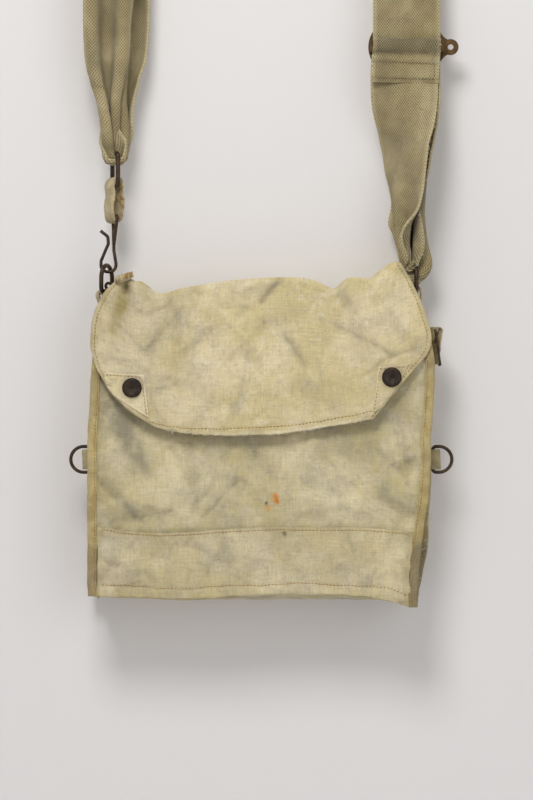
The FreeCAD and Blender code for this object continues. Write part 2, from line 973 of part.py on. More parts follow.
def sling_sections():
    """Sections up the right run, over the shoulder arch and down the left run."""
    up = math.pi / 2
    width = d.webbing_width.value
    thick = d.webbing.value
    radius = d.strap_x.value
    arch = d.arch_height.value
    start = d.twist_start.value
    straight = arch - start
    turn_length = straight + radius * math.radians(30)
    sections = []
    for step in range(4):
        z = start + straight * step / 4
        twist = up * smooth_step((z - start) / turn_length)
        sections.append(webbing_section(radius, z, up, width, thick, twist))
    for step in range(19):
        angle = math.pi * step / 18
        nearer = min(angle, math.pi - angle)
        twist = up * smooth_step((straight + radius * nearer) / turn_length)
        x = radius * math.cos(angle)
        z = arch + radius * math.sin(angle)
        sections.append(webbing_section(x, z, angle + up, width, thick, twist))
    for step in range(3, -1, -1):
        z = start + straight * step / 4
        twist = up * smooth_step((z - start) / turn_length)
        sections.append(webbing_section(-radius, z, 3 * up, width, thick, twist))
    return sections


def strap_webbing():
    """The sling from its fold through the right corner ring to its eye on the left ring."""
    up = math.pi / 2
    down = -up
    width = d.webbing_width.value
    thick = d.webbing.value
    y = d.strap_line.value
    right = d.strap_x.value
    ring_x = d.corner_ring_x.value
    ring_top = d.corner_bar_height.value + d.corner_ring_reach.value
    fold_x = ring_x - 4
    parting = 312

    rear_run = [
        webbing_section(fold_x, parting - 1, up, 34, thick),
        webbing_section(right + 1, 352, up, 42, thick),
        webbing_section(right, 400, up, width, thick),
    ]
    left_run = [
        webbing_section(-right, 470, down, width, thick),
        webbing_section(-right, 423, down, 43, 5),
        webbing_section(-right, 385, down, 30, 8),
        webbing_section(d.chain_x.value, 356, down, 12.8, 12),
        webbing_section(d.chain_x.value, 345, down, 12.8, 12),
    ]
    sling = Part.makeLoft(rear_run + sling_sections() + left_run, True, True)

    gathered = Part.makeLoft(
        [
            webbing_section(ring_x, ring_top + 8, up, 11.4, 11),
            webbing_section(fold_x, parting, up, 34, 5, y=y - 1.4),
        ],
        True,
        True,
    )
    front_leg = Part.makeLoft(
        [
            webbing_section(fold_x, parting - 1, up, 34, thick, y=y - 2.8),
            webbing_section(right + 1, 350, up, 42, thick, y=y - 2.8),
        ],
        True,
        True,
    )

    eye_low = ring_top - 8.6
    eye = Part.makeBox(11.4, 11, 18, V(ring_x - 5.7, y - 5.5, eye_low))
    eye_slot = Part.makeBox(7, 12, 13.5, V(ring_x - 3.5, y - 6, eye_low + 2.7))

    ring_bar = d.strap_ring_top.value
    left_eye = Part.makeCylinder(6.4, 12, V(d.chain_x.value, y - 6, ring_bar), V(0, 1, 0))
    left_bore = Part.makeCylinder(3.5, 16, V(d.chain_x.value, y - 8, ring_bar), V(0, 1, 0))

    shape = sling.fuse([gathered, front_leg, eye, left_eye]).cut([eye_slot, left_bore])
    webbing = doc.addObject("Part::Feature", "strap_webbing")
    webbing.Label = "strap_webbing"
    webbing.Shape = shape
    webbing.Placement = FreeCAD.Placement()
    return webbing


# ---- build, check and write -----------------------------------------------------------------


def tab_rivets():
    """Both corner-tab rivets as one group of fasteners."""
    right = tab_rivet_right()
    left = mirrored(right, "tab_rivet_left")
    pair = doc.addObject("Part::Compound", "tab_rivets")
    pair.Label = "tab_rivets"
    pair.Links = [right, left]
    return pair


MIRRORED_PAIRS = [
    gusset_right,
    binding_front_right,
    binding_back_right,
    side_tab_right,
    side_ring_right,
    corner_tab_right,
]
SINGLE_PIECES = [
    back_panel,
    front_panel,
    front_lower_band,
    front_hem,
    stud_patches,
    bottom_panel,
    snap_studs,
    snap_stud_washers,
    tab_rivets,
    corner_ring_right,
    corner_ring_left,
    corner_eyelet,
    keeper_tab,
    keeper_loop,
    flap_top,
    flap_apron,
    flap_hem,
    flap_patch_left,
    flap_patch_right,
    snap_caps,
    snap_sockets,
    strap_webbing,
    slider_frame,
    slider_bar,
    strap_return,
    strap_ring_left,
    hook_tab,
    strap_hook,
]


def build_nodes():
    nodes = [make() for make in SINGLE_PIECES]
    for make in MIRRORED_PAIRS:
        right = make()
        left = mirrored(right, right.Label.replace("_right", "_left"))
        nodes += [right, left]
    doc.recompute()
    return nodes


def check(nodes):
    for item in doc.Objects:
        if "Invalid" in item.State or "Error" in item.State:
            raise RuntimeError(f"{item.Label} did not build: {item.State}")
    for node in nodes:
        if node.Shape.isNull() or not node.Shape.isValid() or not node.Shape.Solids:
            raise RuntimeError(f"{node.Label} has no valid solid")


def write(nodes):
    for node in nodes:
        node.Shape.exportStep(f"parts/{node.Label}.step")


all_nodes = build_nodes()
check(all_nodes)
write(all_nodes)
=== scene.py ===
"""The looks of a worn canvas shoulder satchel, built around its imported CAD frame.

Everything is in metres in the frame's own axes: +X is the buckle side, -Y is the flap side, +Z is up.
"""
import math

import bpy
import numpy as np
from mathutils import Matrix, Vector
from mathutils.bvhtree import BVHTree


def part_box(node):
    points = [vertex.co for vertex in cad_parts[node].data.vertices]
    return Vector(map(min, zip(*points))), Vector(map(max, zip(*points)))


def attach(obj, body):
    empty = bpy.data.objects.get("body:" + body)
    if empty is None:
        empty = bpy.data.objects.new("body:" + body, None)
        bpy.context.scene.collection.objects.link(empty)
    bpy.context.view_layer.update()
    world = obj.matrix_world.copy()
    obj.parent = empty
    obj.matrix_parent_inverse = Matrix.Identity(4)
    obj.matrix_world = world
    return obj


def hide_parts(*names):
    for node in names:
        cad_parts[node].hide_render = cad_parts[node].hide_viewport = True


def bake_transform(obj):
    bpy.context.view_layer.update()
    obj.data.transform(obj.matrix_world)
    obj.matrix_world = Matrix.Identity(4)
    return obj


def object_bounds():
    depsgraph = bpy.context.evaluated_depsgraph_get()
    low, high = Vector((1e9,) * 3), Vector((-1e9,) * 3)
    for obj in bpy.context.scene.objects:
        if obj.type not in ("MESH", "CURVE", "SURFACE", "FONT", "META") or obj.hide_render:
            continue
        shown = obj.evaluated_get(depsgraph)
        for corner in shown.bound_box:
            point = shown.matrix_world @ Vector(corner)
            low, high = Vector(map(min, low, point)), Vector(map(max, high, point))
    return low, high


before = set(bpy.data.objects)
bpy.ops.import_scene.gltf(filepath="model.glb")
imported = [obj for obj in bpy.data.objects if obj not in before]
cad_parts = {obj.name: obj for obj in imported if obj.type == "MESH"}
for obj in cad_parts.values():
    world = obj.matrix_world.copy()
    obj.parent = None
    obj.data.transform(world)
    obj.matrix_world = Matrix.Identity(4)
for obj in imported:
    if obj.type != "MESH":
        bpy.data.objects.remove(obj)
cad_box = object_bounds()
MM = 0.001

# ---- sizes read from the frame --------------------------------------------------------------


def low(node):
    return np.array(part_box(node)[0])


def high(node):
    return np.array(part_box(node)[1])


def middle(node):
    return (low(node) + high(node)) / 2


CANVAS = high("back_panel")[1] - low("back_panel")[1]
LIGHT_CANVAS = 0.75 * CANVAS
TAPE = 0.8 * MM
WEBBING = 2 * MM
PANEL_HALF = high("front_panel")[0]
PANEL_FOOT = low("front_panel")[2]
PANEL_TOP = high("front_panel")[2]
BACK_TOP = high("back_panel")[2]
BACK_FACE = high("back_panel")[1]
GUSSET_FACE = high("gusset_right")[0]
GUSSET_FOOT = 1.8 * MM
GUSSET_RISE = 223.5 * MM
GUSSET_TOP = 226 * MM
SIDE_TAB_Z = middle("side_tab_right")[2]
BAND_TOP = high("front_lower_band")[2]
LEAN_SLOPE = (high("front_panel")[1] - CANVAS - low("front_panel")[1]) / (PANEL_TOP - PANEL_FOOT)
FACE_FOOT_Y = low("front_panel")[1] - LEAN_SLOPE * PANEL_FOOT
FLAP_HALF = high("flap_apron")[0]
FLAP_TOP = high("flap_top")[2]
FLAP_FOOT = low("flap_apron")[2]
FLAP_DROP = FLAP_TOP - FLAP_FOOT
FLAP_MIDDLE = 6.2 * MM  # how far the flap's middle surface stands out from the front panel's face
FLAP_SEAM_Y = 15 * MM
STRAP_X = middle("slider_bar")[0]
STRAP_Y = middle("strap_webbing")[1]
CHAIN_X = middle("strap_ring_left")[0]
WEBBING_HALF = (high("strap_return")[0] - low("strap_return")[0]) / 2
ARCH_Z = high("strap_webbing")[2] - STRAP_X - 1.1 * MM


def face_y(z, out=0.0):
    """The depth of a point that stands out from the front panel's face at height z."""
    return FACE_FOOT_Y + LEAN_SLOPE * z - out


# ---- numbers --------------------------------------------------------------------------------


def smooth(share):
    """0 below 0, 1 above 1 and an easy curve between."""
    share = np.clip(share, 0, 1)
    return share * share * (3 - 2 * share)


def bell(distance, width):
    """1 at distance 0, fading away over about width."""
    return np.exp(-((distance / width) ** 2))


def unit(vectors):
    """The same vectors with length 1."""
    return vectors / np.maximum(np.linalg.norm(vectors, axis=-1, keepdims=True), 1e-12)


def noise(across, up, cell, seed):
    """Soft random hills between -1 and 1, one about every cell."""
    size = 64
    values = np.random.RandomState(seed).uniform(-1, 1, (size, size))
    column = np.floor(across / cell).astype(int)
    row = np.floor(up / cell).astype(int)
    s = smooth(across / cell - column)
    t = smooth(up / cell - row)
    near = values[row % size, column % size] * (1 - s) + values[row % size, (column + 1) % size] * s
    row = row + 1
    far = values[row % size, column % size] * (1 - s) + values[row % size, (column + 1) % size] * s
    return near * (1 - t) + far * t


def rough_noise(across, up, cell, seed):
    """Noise with finer hills on its hills."""
    total = noise(across, up, cell, seed)
    total = total + 0.5 * noise(across + 0.3, up + 0.7, cell / 2.1, seed + 1)
    return total + 0.25 * noise(across + 0.9, up + 0.2, cell / 4.3, seed + 2)


def crumple(across, up, cell, seed):
    """Sharp creases between soft hollows, as in cloth that was folded many times. From 0 to about 1."""
    folds = np.abs(noise(across + 0.4 * up, up - 0.3 * across, cell, seed)) ** 0.8
    fine = np.abs(noise(across - 0.5 * up, up + 0.4 * across, cell / 1.9, seed + 1)) ** 0.8
    return 0.65 * folds + 0.35 * fine


def resize(grid, count, axis=0):
    """The same smooth curve or surface with another number of points along one axis."""
    grid = np.moveaxis(np.asarray(grid, float), axis, 0)
    last = len(grid) - 1
    place = np.linspace(0, last, count)
    index = np.minimum(place.astype(int), last - 1)
    share = (place - index).reshape((-1,) + (1,) * (grid.ndim - 1))
    before, start, stop, after = (grid[np.clip(index + step, 0, last)] for step in (-1, 0, 1, 2))
    curve = 2 * start + (stop - before) * share
    curve = curve + (2 * before - 5 * start + 4 * stop - after) * share ** 2
    curve = curve + (3 * start - before - 3 * stop + after) * share ** 3
    return np.moveaxis(curve / 2, 0, axis)


def travelled(path, measured=3):
    """How far along a path each point lies, measured over its first few numbers."""
    steps = np.linalg.norm(np.diff(path[:, :measured], axis=0), axis=1)
    return np.concatenate([[0], np.cumsum(steps)])


def at_places(places, known, values):
    """Rows of values read off at new places along a path."""
    return np.stack([np.interp(places, known, column) for column in values.T], axis=1)


def even_spread(dense, count, measured=3):
    """count points at even steps along a dense path."""
    known = travelled(dense, measured)
    return at_places(np.linspace(0, known[-1], count), known, dense)


def through(points, count, measured=3):
    """count even points on a smooth curve through the given ones."""
    points = np.array(points, float)
    return even_spread(resize(points, 24 * (len(points) - 1) + 1), count, measured)


def path_length(points):
    return np.linalg.norm(np.diff(points, axis=0), axis=1).sum()


def sample(grid, s, t):
    """A grid's value at shares s across and t up, both from 0 to 1."""
    rows, columns = grid.shape[:2]
    across = np.clip(s, 0, 1) * (columns - 1)
    up = np.clip(t, 0, 1) * (rows - 1)
    column = np.minimum(across.astype(int), columns - 2)
    row = np.minimum(up.astype(int), rows - 2)
    u = (across - column)[..., None]
    v = (up - row)[..., None]
    bottom = grid[row, column] * (1 - u) + grid[row, column + 1] * u
    top = grid[row + 1, column] * (1 - u) + grid[row + 1, column + 1] * u
    return bottom * (1 - v) + top * v


# ---- meshes ---------------------------------------------------------------------------------


def make_piece(name, points, faces, material, pattern=None, tones=None):
    """A mesh object with a material, its place in the cloth's pattern and its tones."""
    mesh = bpy.data.meshes.new(name)
    mesh.from_pydata(np.asarray(points).tolist(), [], faces)
    mesh.polygons.foreach_set("use_smooth", [True] * len(mesh.polygons))
    if pattern is not None:
        corners = np.zeros(len(mesh.loops), int)
        mesh.loops.foreach_get("vertex_index", corners)
        mesh.uv_layers.new(name="cloth").data.foreach_set("uv", np.asarray(pattern)[corners].ravel())
    for tone, values in (tones or {}).items():
        attribute = mesh.attributes.new(tone, "FLOAT", "POINT")
        attribute.data.foreach_set("value", np.asarray(values, np.float32).ravel())
    mesh.materials.append(material)
    mesh.update()
    piece = bpy.data.objects.new(name, mesh)
    bpy.context.scene.collection.objects.link(piece)
    return piece


class Cloth:
    """One ply of cloth: its middle surface in rows of points, and each point's place in the pattern."""

    def __init__(self, grid, pattern, thickness):
        self.grid = grid
        self.pattern = pattern
        self.half = thickness / 2
        self.normal = unit(np.cross(np.gradient(grid, axis=1), np.gradient(grid, axis=0)))
        self.tree = None

    def place(self, s, t, lift=0.0):
        """Points on the outer face, s across and t up, and the normals there."""
        normal = unit(sample(self.normal, s, t))
        return sample(self.grid, s, t) + normal * (self.half + lift), normal

    def drop(self, across, up, lift=0.0):
        """The same for the points that are seen straight from the front at (across, up)."""
        if self.tree is None:
            rows, columns = self.grid.shape[:2]
            outer = self.grid + self.normal * self.half
            self.tree = BVHTree.FromPolygons(outer.reshape(-1, 3).tolist(), grid_faces(rows, columns))
        points = []
        normals = []
        for x, z in zip(np.ravel(across), np.ravel(up)):
            point, normal, _, _ = self.tree.ray_cast(Vector((x, -1, z)), Vector((0, 1, 0)))
            if point is None:
                point, normal, _, _ = self.tree.find_nearest(Vector((x, face_y(z, 7 * MM), z)))
            points.append(point)
            normals.append(normal if normal.y < 0 else -normal)
        shape = np.shape(across) + (3,)
        points = np.array(points).reshape(shape)
        normals = unit(np.array(normals).reshape(shape))
        return points + normals * lift, normals

    def build(self, name, material, slot, tones=None, rim=3):
        """A closed sheet with a round edge."""
        rows, columns = self.grid.shape[:2]
        index = np.arange(rows * columns).reshape(rows, columns)
        border = np.concatenate([index[0, :-1], index[:-1, -1], index[-1, :0:-1], index[:0:-1, 0]])
        row, column = np.divmod(border, columns)
        inner = self.grid[np.clip(row, 1, rows - 2), np.clip(column, 1, columns - 2)]
        edge = self.grid[row, column]
        edge_normal = self.normal[row, column]
        outward = edge - inner
        outward = unit(outward - edge_normal * (outward * edge_normal).sum(1, keepdims=True))
        flat = self.grid.reshape(-1, 3)
        thick = self.normal.reshape(-1, 3) * self.half
        count = rows * columns
        parts = [flat + thick, flat - thick]
        rings = [border]
        for step in range(1, rim):
            angle = math.pi * step / rim
            out = outward * math.sin(angle) + edge_normal * math.cos(angle)
            parts.append(edge + out * self.half)
            rings.append(2 * count + (step - 1) * len(border) + np.arange(len(border)))
        rings.append(border + count)
        faces = grid_faces(rows, columns)
        faces += [[count + corner for corner in reversed(face)] for face in faces]
        for near, far in zip(rings, rings[1:]):
            turned = np.stack([near, far, np.roll(far, -1), np.roll(near, -1)], axis=1)
            faces += turned.tolist()
        where = self.pattern.reshape(-1, 2)
        pattern = np.concatenate([where, where] + [where[border]] * (rim - 1))
        values = {}
        for tone, field in (tones or {}).items():
            field = np.ravel(field)
            values[tone] = np.concatenate([field, field] + [field[border]] * (rim - 1))
        return make_piece(name, np.concatenate(parts), faces, material, pattern, values)


def dress(cloth, name, material, slot, tones, body, *nodes):
    """Builds a cloth that rides on a body and takes the place of that body's plain nodes."""
    piece = cloth.build(name, material, slot, tones)
    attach(piece, body)
    if nodes:
        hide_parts(*nodes)


def grid_faces(rows, columns):
    """The four-cornered faces between rows of points."""
    index = np.arange(rows * columns).reshape(rows, columns)
    corners = (index[:-1, :-1], index[:-1, 1:], index[1:, 1:], index[1:, :-1])
    return np.stack(corners, axis=-1).reshape(-1, 4).tolist()


class Threads:
    """Many short round threads gathered in one mesh."""

    def __init__(self):
        self.points = []
        self.faces = []

    def add(self, path, radius, sides=6):
        """One thread along a path. Its ends close to a small tip."""
        path = np.asarray(path, float)
        along = unit(np.gradient(path, axis=0))
        least = np.argmin(np.abs(along.mean(0)))
        side = unit(np.cross(along, np.eye(3)[least]))
        other = np.cross(along, side)
        radii = np.full(len(path), radius)
        radii[[0, -1]] *= 0.45
        first = len(self.points)
        for spot, one, two, size in zip(path, side, other, radii):
            for step in range(sides):
                angle = 2 * math.pi * step / sides
                self.points.append(spot + (one * math.cos(angle) + two * math.sin(angle)) * size)
        for ring in range(len(path) - 1):
            for step in range(sides):
                following = (step + 1) % sides
                low_ring = first + ring * sides
                high_ring = low_ring + sides
                face = [low_ring + step, low_ring + following, high_ring + following, high_ring + step]
                self.faces.append(face)
        last = first + (len(path) - 1) * sides
        self.faces.append([first + step for step in reversed(range(sides))])
        self.faces.append([last + step for step in range(sides)])

    def stitch(self, points, normals, pitch=2.8 * MM, share=0.72, radius=0.34 * MM):
        """A row of stitches along a line on a cloth. Each one dips into the cloth at its ends."""
        known = travelled(points)
        rise = np.array([-1.1, 0.35, 0.55, 0.35, -1.1]) * radius
        for number in range(int(known[-1] / pitch)):
            places = (number + 0.5 + np.linspace(-0.5, 0.5, 5) * share) * pitch
            lift = at_places(places, known, normals) * rise[:, None]
            self.add(at_places(places, known, points) + lift, radius)

    def build(self, name, material, slot):
        return make_piece(name, self.points, self.faces, material)


def add_fray(threads, random, start, heading, length, radius=0.13 * MM):
    """A loose yarn that wanders off from start."""
    heading = unit(np.array(heading, float))
    steps = 7
    spot = np.array(start, float)
    path = [spot.copy()]
    size = length * random.uniform(0.4, 1.2) / steps
    for _ in range(steps):
        heading = unit(heading + random.uniform(-0.45, 0.45, 3))
        spot = spot + heading * size
        path.append(spot.copy())
    threads.add(through(path, 12), radius * random.uniform(0.7, 1.5), 4)


# ---- materials ------------------------------------------------------------------------------


def paint(red, green, blue):
    """A colour given in display values from 0 to 255."""
    linear = [((part / 255 + 0.055) / 1.055) ** 2.4 for part in (red, green, blue)]
    return (*linear, 1.0)


class Shader:
    """A material and short ways to add nodes to it."""

    def __init__(self, name):
        self.material = bpy.data.materials.new(name)
        self.material.use_nodes = True
        self.tree = self.material.node_tree
        self.surface = self.tree.nodes["Principled BSDF"]
        self.colour = None

    def feed(self, socket, value):
        if isinstance(value, bpy.types.NodeSocket):
            self.tree.links.new(value, socket)
        else:
            socket.default_value = value

    def node(self, kind, inputs=None, **settings):
        node = self.tree.nodes.new(kind)
        for setting, value in settings.items():
            setattr(node, setting, value)
        for socket, value in (inputs or {}).items():
            self.feed(node.inputs[socket], value)
        return node

    def cloth_place(self, shift=0.0):
        """The place in the cloth's own pattern, in metres."""
        place = self.node("ShaderNodeUVMap", uv_map="cloth").outputs[0]
        return self.vector("ADD", {0: place, 1: (shift, shift * 0.7, shift * 1.3)})

    def solid_place(self):
        return self.node("ShaderNodeTexCoord").outputs["Object"]

    def tone(self, name):
        return self.node("ShaderNodeAttribute", attribute_name=name).outputs["Fac"]

    def noise(self, place, cell, detail=3.0, rough=0.55, warp=0.0):
        inputs = {"Vector": place, "Scale": 1 / cell, "Detail": detail}
        inputs.update({"Roughness": rough, "Distortion": warp})
        return self.node("ShaderNodeTexNoise", inputs).outputs[0]

    def creases(self, place, cell, width):
        """1 on the lines of a crumpled pattern, 0 away from them. The lines fade in and out."""
        bent = self.node("ShaderNodeTexNoise", {"Vector": place, "Scale": 1 / cell, "Detail": 2.0}).outputs[1]
        shift = self.vector("SCALE", {0: bent, "Scale": 0.5 * cell})
        moved = self.vector("ADD", {0: place, 1: shift})
        inputs = {"Vector": moved, "Scale": 1 / cell}
        cells = self.node("ShaderNodeTexVoronoi", inputs, feature="DISTANCE_TO_EDGE")
        line = self.between(cells.outputs[0], 0.0, width / cell, 1.0, 0.0)
        shown = self.between(self.noise(place, 1.7 * cell, 2), 0.42, 0.62)
        return self.product(line, shown)

    def vector(self, kind, inputs):
        return self.node("ShaderNodeVectorMath", inputs, operation=kind).outputs[0]

    def sum(self, kind, one, two=0.0, three=0.0):
        return self.node("ShaderNodeMath", {0: one, 1: two, 2: three}, operation=kind).outputs[0]

    def product(self, one, two):
        return self.sum("MULTIPLY", one, two)

    def between(self, value, start, stop, least=0.0, most=1.0):
        """Goes smoothly from least to most as value goes from start to stop."""
        inputs = {0: value, 1: start, 2: stop, 3: least, 4: most}
        return self.node("ShaderNodeMapRange", inputs, interpolation_type="SMOOTHSTEP").outputs[0]

    def mix(self, share, one, two, kind="MIX"):
        inputs = {0: share, 6: one, 7: two}
        return self.node("ShaderNodeMix", inputs, data_type="RGBA", blend_type=kind).outputs[2]

    def coat(self, share, colour):
        """Lays a colour over the ones before."""
        self.colour = self.mix(share, self.colour, colour)

    def bump(self, height, distance, strength=1.0, base=None):
        inputs = {"Height": height, "Distance": distance, "Strength": strength}
        if base is not None:
            inputs["Normal"] = base
        return self.node("ShaderNodeBump", inputs).outputs[0]

    def weave(self, place, pitch, stretch=1.0):
        """Over-and-under threads: staggered bumps between -1 and 1, stretch times as tall as wide."""
        parts = self.node("ShaderNodeSeparateXYZ", {0: place})
        warp = self.sum("SINE", self.product(parts.outputs[0], math.pi / pitch))
        weft = self.sum("SINE", self.product(parts.outputs[1], math.pi / (pitch * stretch)))
        return self.product(warp, weft)

    def slubs(self, place, cell):
        """Uneven threads that run both ways through a cloth, from about -1 to 1."""
        rows = []
        for squeeze in ((0.06, 1, 1), (1, 0.06, 1)):
            moved = self.vector("MULTIPLY", {0: place, 1: squeeze})
            rows.append(self.between(self.noise(moved, cell, 2, 0.6), 0.3, 0.7, -0.5, 0.5))
        return self.sum("ADD", rows[0], rows[1])

    def finish(self, roughness, normal, metallic=0.0, sheen=0.0, shine=0.3):
        values = {
            "Base Color": self.colour, "Roughness": roughness, "Normal": normal, "Metallic": metallic,
            "Specular IOR Level": shine, "Sheen Weight": sheen, "Sheen Roughness": 0.6,
        }
        for name, value in values.items():
            self.feed(self.surface.inputs[name], value)
        return self.material


def canvas(name, cream, khaki, grey, shift, thread=0.75 * MM):
    """Washed and stained cotton canvas. Its tones add smears, rubbed places, rust and sooty spots, and
    painted shade in folds, along creases and under the flap.
    """
    shader = Shader(name)
    place = shader.cloth_place(shift)
    broad = shader.noise(place, 55 * MM, 4, 0.6, 0.4)
    patchy = shader.noise(place, 17 * MM, 5, 0.66, 0.5)
    cloudy = shader.noise(place, 30 * MM, 5, 0.65, 0.7)
    speckled = shader.noise(place, 4.2 * MM, 4, 0.7)
    grain = shader.noise(place, 1.1 * MM, 3, 0.75)
    large_crease = shader.creases(place, 34 * MM, 1.6 * MM)
    small_crease = shader.creases(place, 15 * MM, 0.9 * MM)
    shader.colour = shader.mix(shader.between(broad, 0.38, 0.62), cream, khaki)
    shader.coat(shader.between(patchy, 0.5, 0.7, 0, 0.5), paint(222, 211, 182))
    shader.coat(shader.between(cloudy, 0.5, 0.7, 0, 0.48), grey)
    shader.coat(shader.between(speckled, 0.5, 0.72, 0, 0.42), grey)
    shader.coat(shader.between(speckled, 0.26, 0.44, 0.25, 0), khaki)
    shader.coat(shader.product(large_crease, 0.09), paint(146, 140, 124))
    shader.coat(shader.product(small_crease, 0.12), paint(228, 219, 194))
    broken = shader.between(patchy, 0.3, 0.62, 0.45, 1.0)
    # Grey smears of dirt, and painted shade under the flap, along creases and in the fold below the flap's
    # left shoulder
    shader.coat(shader.product(shader.tone("smear_and_shade"), broken), paint(122, 116, 100))
    # Olive: darker along seams, edges and the flap's hem, and painted shade in the fold below the flap's left
    # shoulder
    shader.coat(shader.product(shader.tone("olive"), broken), paint(146, 132, 78))
    shader.coat(shader.tone("rub"), paint(226, 216, 190))
    shader.coat(shader.tone("rust"), paint(206, 124, 22))
    # Near-black: sooty spots on the front, and painted shade in the deep crease at the flap's shoulder and
    # inside the rolled ear
    shader.coat(shader.tone("soot_and_shade"), paint(48, 42, 34))
    weave = shader.weave(place, thread)
    slubs = shader.slubs(place, 1.0 * MM)
    shade = shader.sum("MULTIPLY_ADD", weave, 0.04, 1.0)
    shade = shader.sum("MULTIPLY_ADD", slubs, 0.11, shade)
    shade = shader.sum("ADD", shade, shader.between(grain, 0.3, 0.7, -0.075, 0.075))
    tinted = shader.node("ShaderNodeCombineColor", {0: shade, 1: shade, 2: shade}).outputs[0]
    shader.colour = shader.mix(1.0, shader.colour, tinted, "MULTIPLY")
    normal = shader.bump(shader.sum("ADD", weave, slubs), 0.10 * MM, 0.6)
    normal = shader.bump(grain, 0.25 * MM, 0.5, normal)
    normal = shader.bump(shader.sum("SUBTRACT", small_crease, large_crease), 0.3 * MM, 0.5, normal)
    normal = shader.bump(cloudy, 2.6 * MM, 0.4, normal)
    rough = shader.between(patchy, 0.3, 0.7, 0.86, 0.96)
    return shader.finish(rough, normal, sheen=0.12, shine=0.12)


def ribbed_tape(name, light, dark, shift, pitch=0.9 * MM):
    """Narrow woven tape with fine ribs along it."""
    shader = Shader(name)
    place = shader.cloth_place(shift)
    patchy = shader.noise(place, 14 * MM, 5, 0.65, 0.8)
    grain = shader.noise(place, 0.8 * MM, 3, 0.7)
    parts = shader.node("ShaderNodeSeparateXYZ", {0: place})
    rib = shader.sum("SINE", shader.product(parts.outputs[0], 2 * math.pi / pitch))
    weft = shader.sum("SINE", shader.product(parts.outputs[1], 2 * math.pi / pitch))
    shader.colour = shader.mix(shader.between(patchy, 0.34, 0.66), light, dark)
    # Painted shade in the grooves between the ribs
    shader.coat(shader.between(rib, -1, 1, 0.22, 0), paint(92, 78, 52))
    shader.coat(shader.product(shader.tone("smear_and_shade"), 0.8), paint(96, 88, 74))
    shader.coat(shader.between(grain, 0.35, 0.75, 0, 0.3), paint(206, 192, 156))
    height = shader.sum("MULTIPLY_ADD", weft, 0.35, rib)
    normal = shader.bump(height, 0.16 * MM, 0.7)
    normal = shader.bump(grain, 0.3 * MM, 0.5, normal)
    return shader.finish(0.93, normal, sheen=0.12, shine=0.12)


def webbing(name, light, middle_tone, dark, shift, pitch=0.98 * MM):
    """Thick cotton webbing: rows of raised diamonds, with painted shade between the threads and painted
    highlights on their tops.
    """
    shader = Shader(name)
    place = shader.cloth_place(shift)
    broad = shader.noise(place, 45 * MM, 4, 0.6, 0.5)
    patchy = shader.noise(place, 13 * MM, 5, 0.65, 0.8)
    grain = shader.noise(place, 0.9 * MM, 3, 0.75)
    weave = shader.weave(place, pitch, 1.35)
    shader.colour = shader.mix(shader.between(broad, 0.35, 0.65), light, middle_tone)
    shader.coat(shader.between(patchy, 0.45, 0.72, 0, 0.6), dark)
    # Patchy dirt, and painted shade on the webbing wrapped over the buckle's bar
    shader.coat(shader.tone("smear_and_shade"), paint(93, 84, 64))
    shader.coat(shader.tone("rub"), paint(196, 184, 148))
    # Painted shade in the weave's hollows and painted highlights on its raised threads
    shader.coat(shader.between(weave, -0.95, 0.15, 0.72, 0), paint(82, 70, 46))
    shader.coat(shader.between(weave, 0.3, 1, 0, 0.45), paint(206, 194, 156))
    shader.coat(shader.between(grain, 0.5, 0.8, 0, 0.3), paint(201, 190, 156))
    normal = shader.bump(weave, 0.42 * MM, 0.85)
    normal = shader.bump(grain, 0.3 * MM, 0.5, normal)
    # Near-black painted shade in the gap behind the front leg's edge and along the box stitch's rows
    shader.coat(shader.tone("soot_and_shade"), paint(44, 37, 28))
    return shader.finish(0.94, normal, sheen=0.12, shine=0.1)


def thread(name, light, dark):
    """Twisted sewing thread."""
    shader = Shader(name)
    place = shader.solid_place()
    patchy = shader.noise(place, 9 * MM, 3)
    twist = shader.noise(place, 0.35 * MM, 2, 0.6)
    shader.colour = shader.mix(shader.between(patchy, 0.38, 0.62), light, dark)
    # Painted shade in the grooves of the twist
    shader.coat(shader.between(twist, 0.3, 0.7, 0.25, 0), paint(70, 50, 28))
    return shader.finish(0.85, shader.bump(twist, 0.15 * MM, 0.8), sheen=0.1, shine=0.15)


def old_metal(name, dark, brown, bare, rust_share):
    """Dark patina that is worn to bare metal in places, with rust in the pits."""
    shader = Shader(name)
    place = shader.solid_place()
    cloudy = shader.noise(place, 5 * MM, 5, 0.7)
    pits = shader.noise(place, 1.1 * MM, 4, 0.75)
    scratch = shader.noise(place, 2.3 * MM, 6, 0.8, 2.5)
    shader.colour = shader.mix(shader.between(cloudy, 0.38, 0.62), dark, brown)
    shader.coat(shader.between(scratch, 0.56, 0.72, 0, 0.75), bare)
    rust = shader.between(pits, 0.62 - 0.2 * rust_share, 0.8 - 0.2 * rust_share)
    shader.coat(rust, paint(117, 66, 34))
    metallic = shader.sum("SUBTRACT", 0.85, shader.product(rust, 0.7))
    rough = shader.between(pits, 0.3, 0.7, 0.42, 0.72)
    normal = shader.bump(pits, 0.18 * MM, 0.6)
    return shader.finish(rough, normal, metallic, shine=0.4)


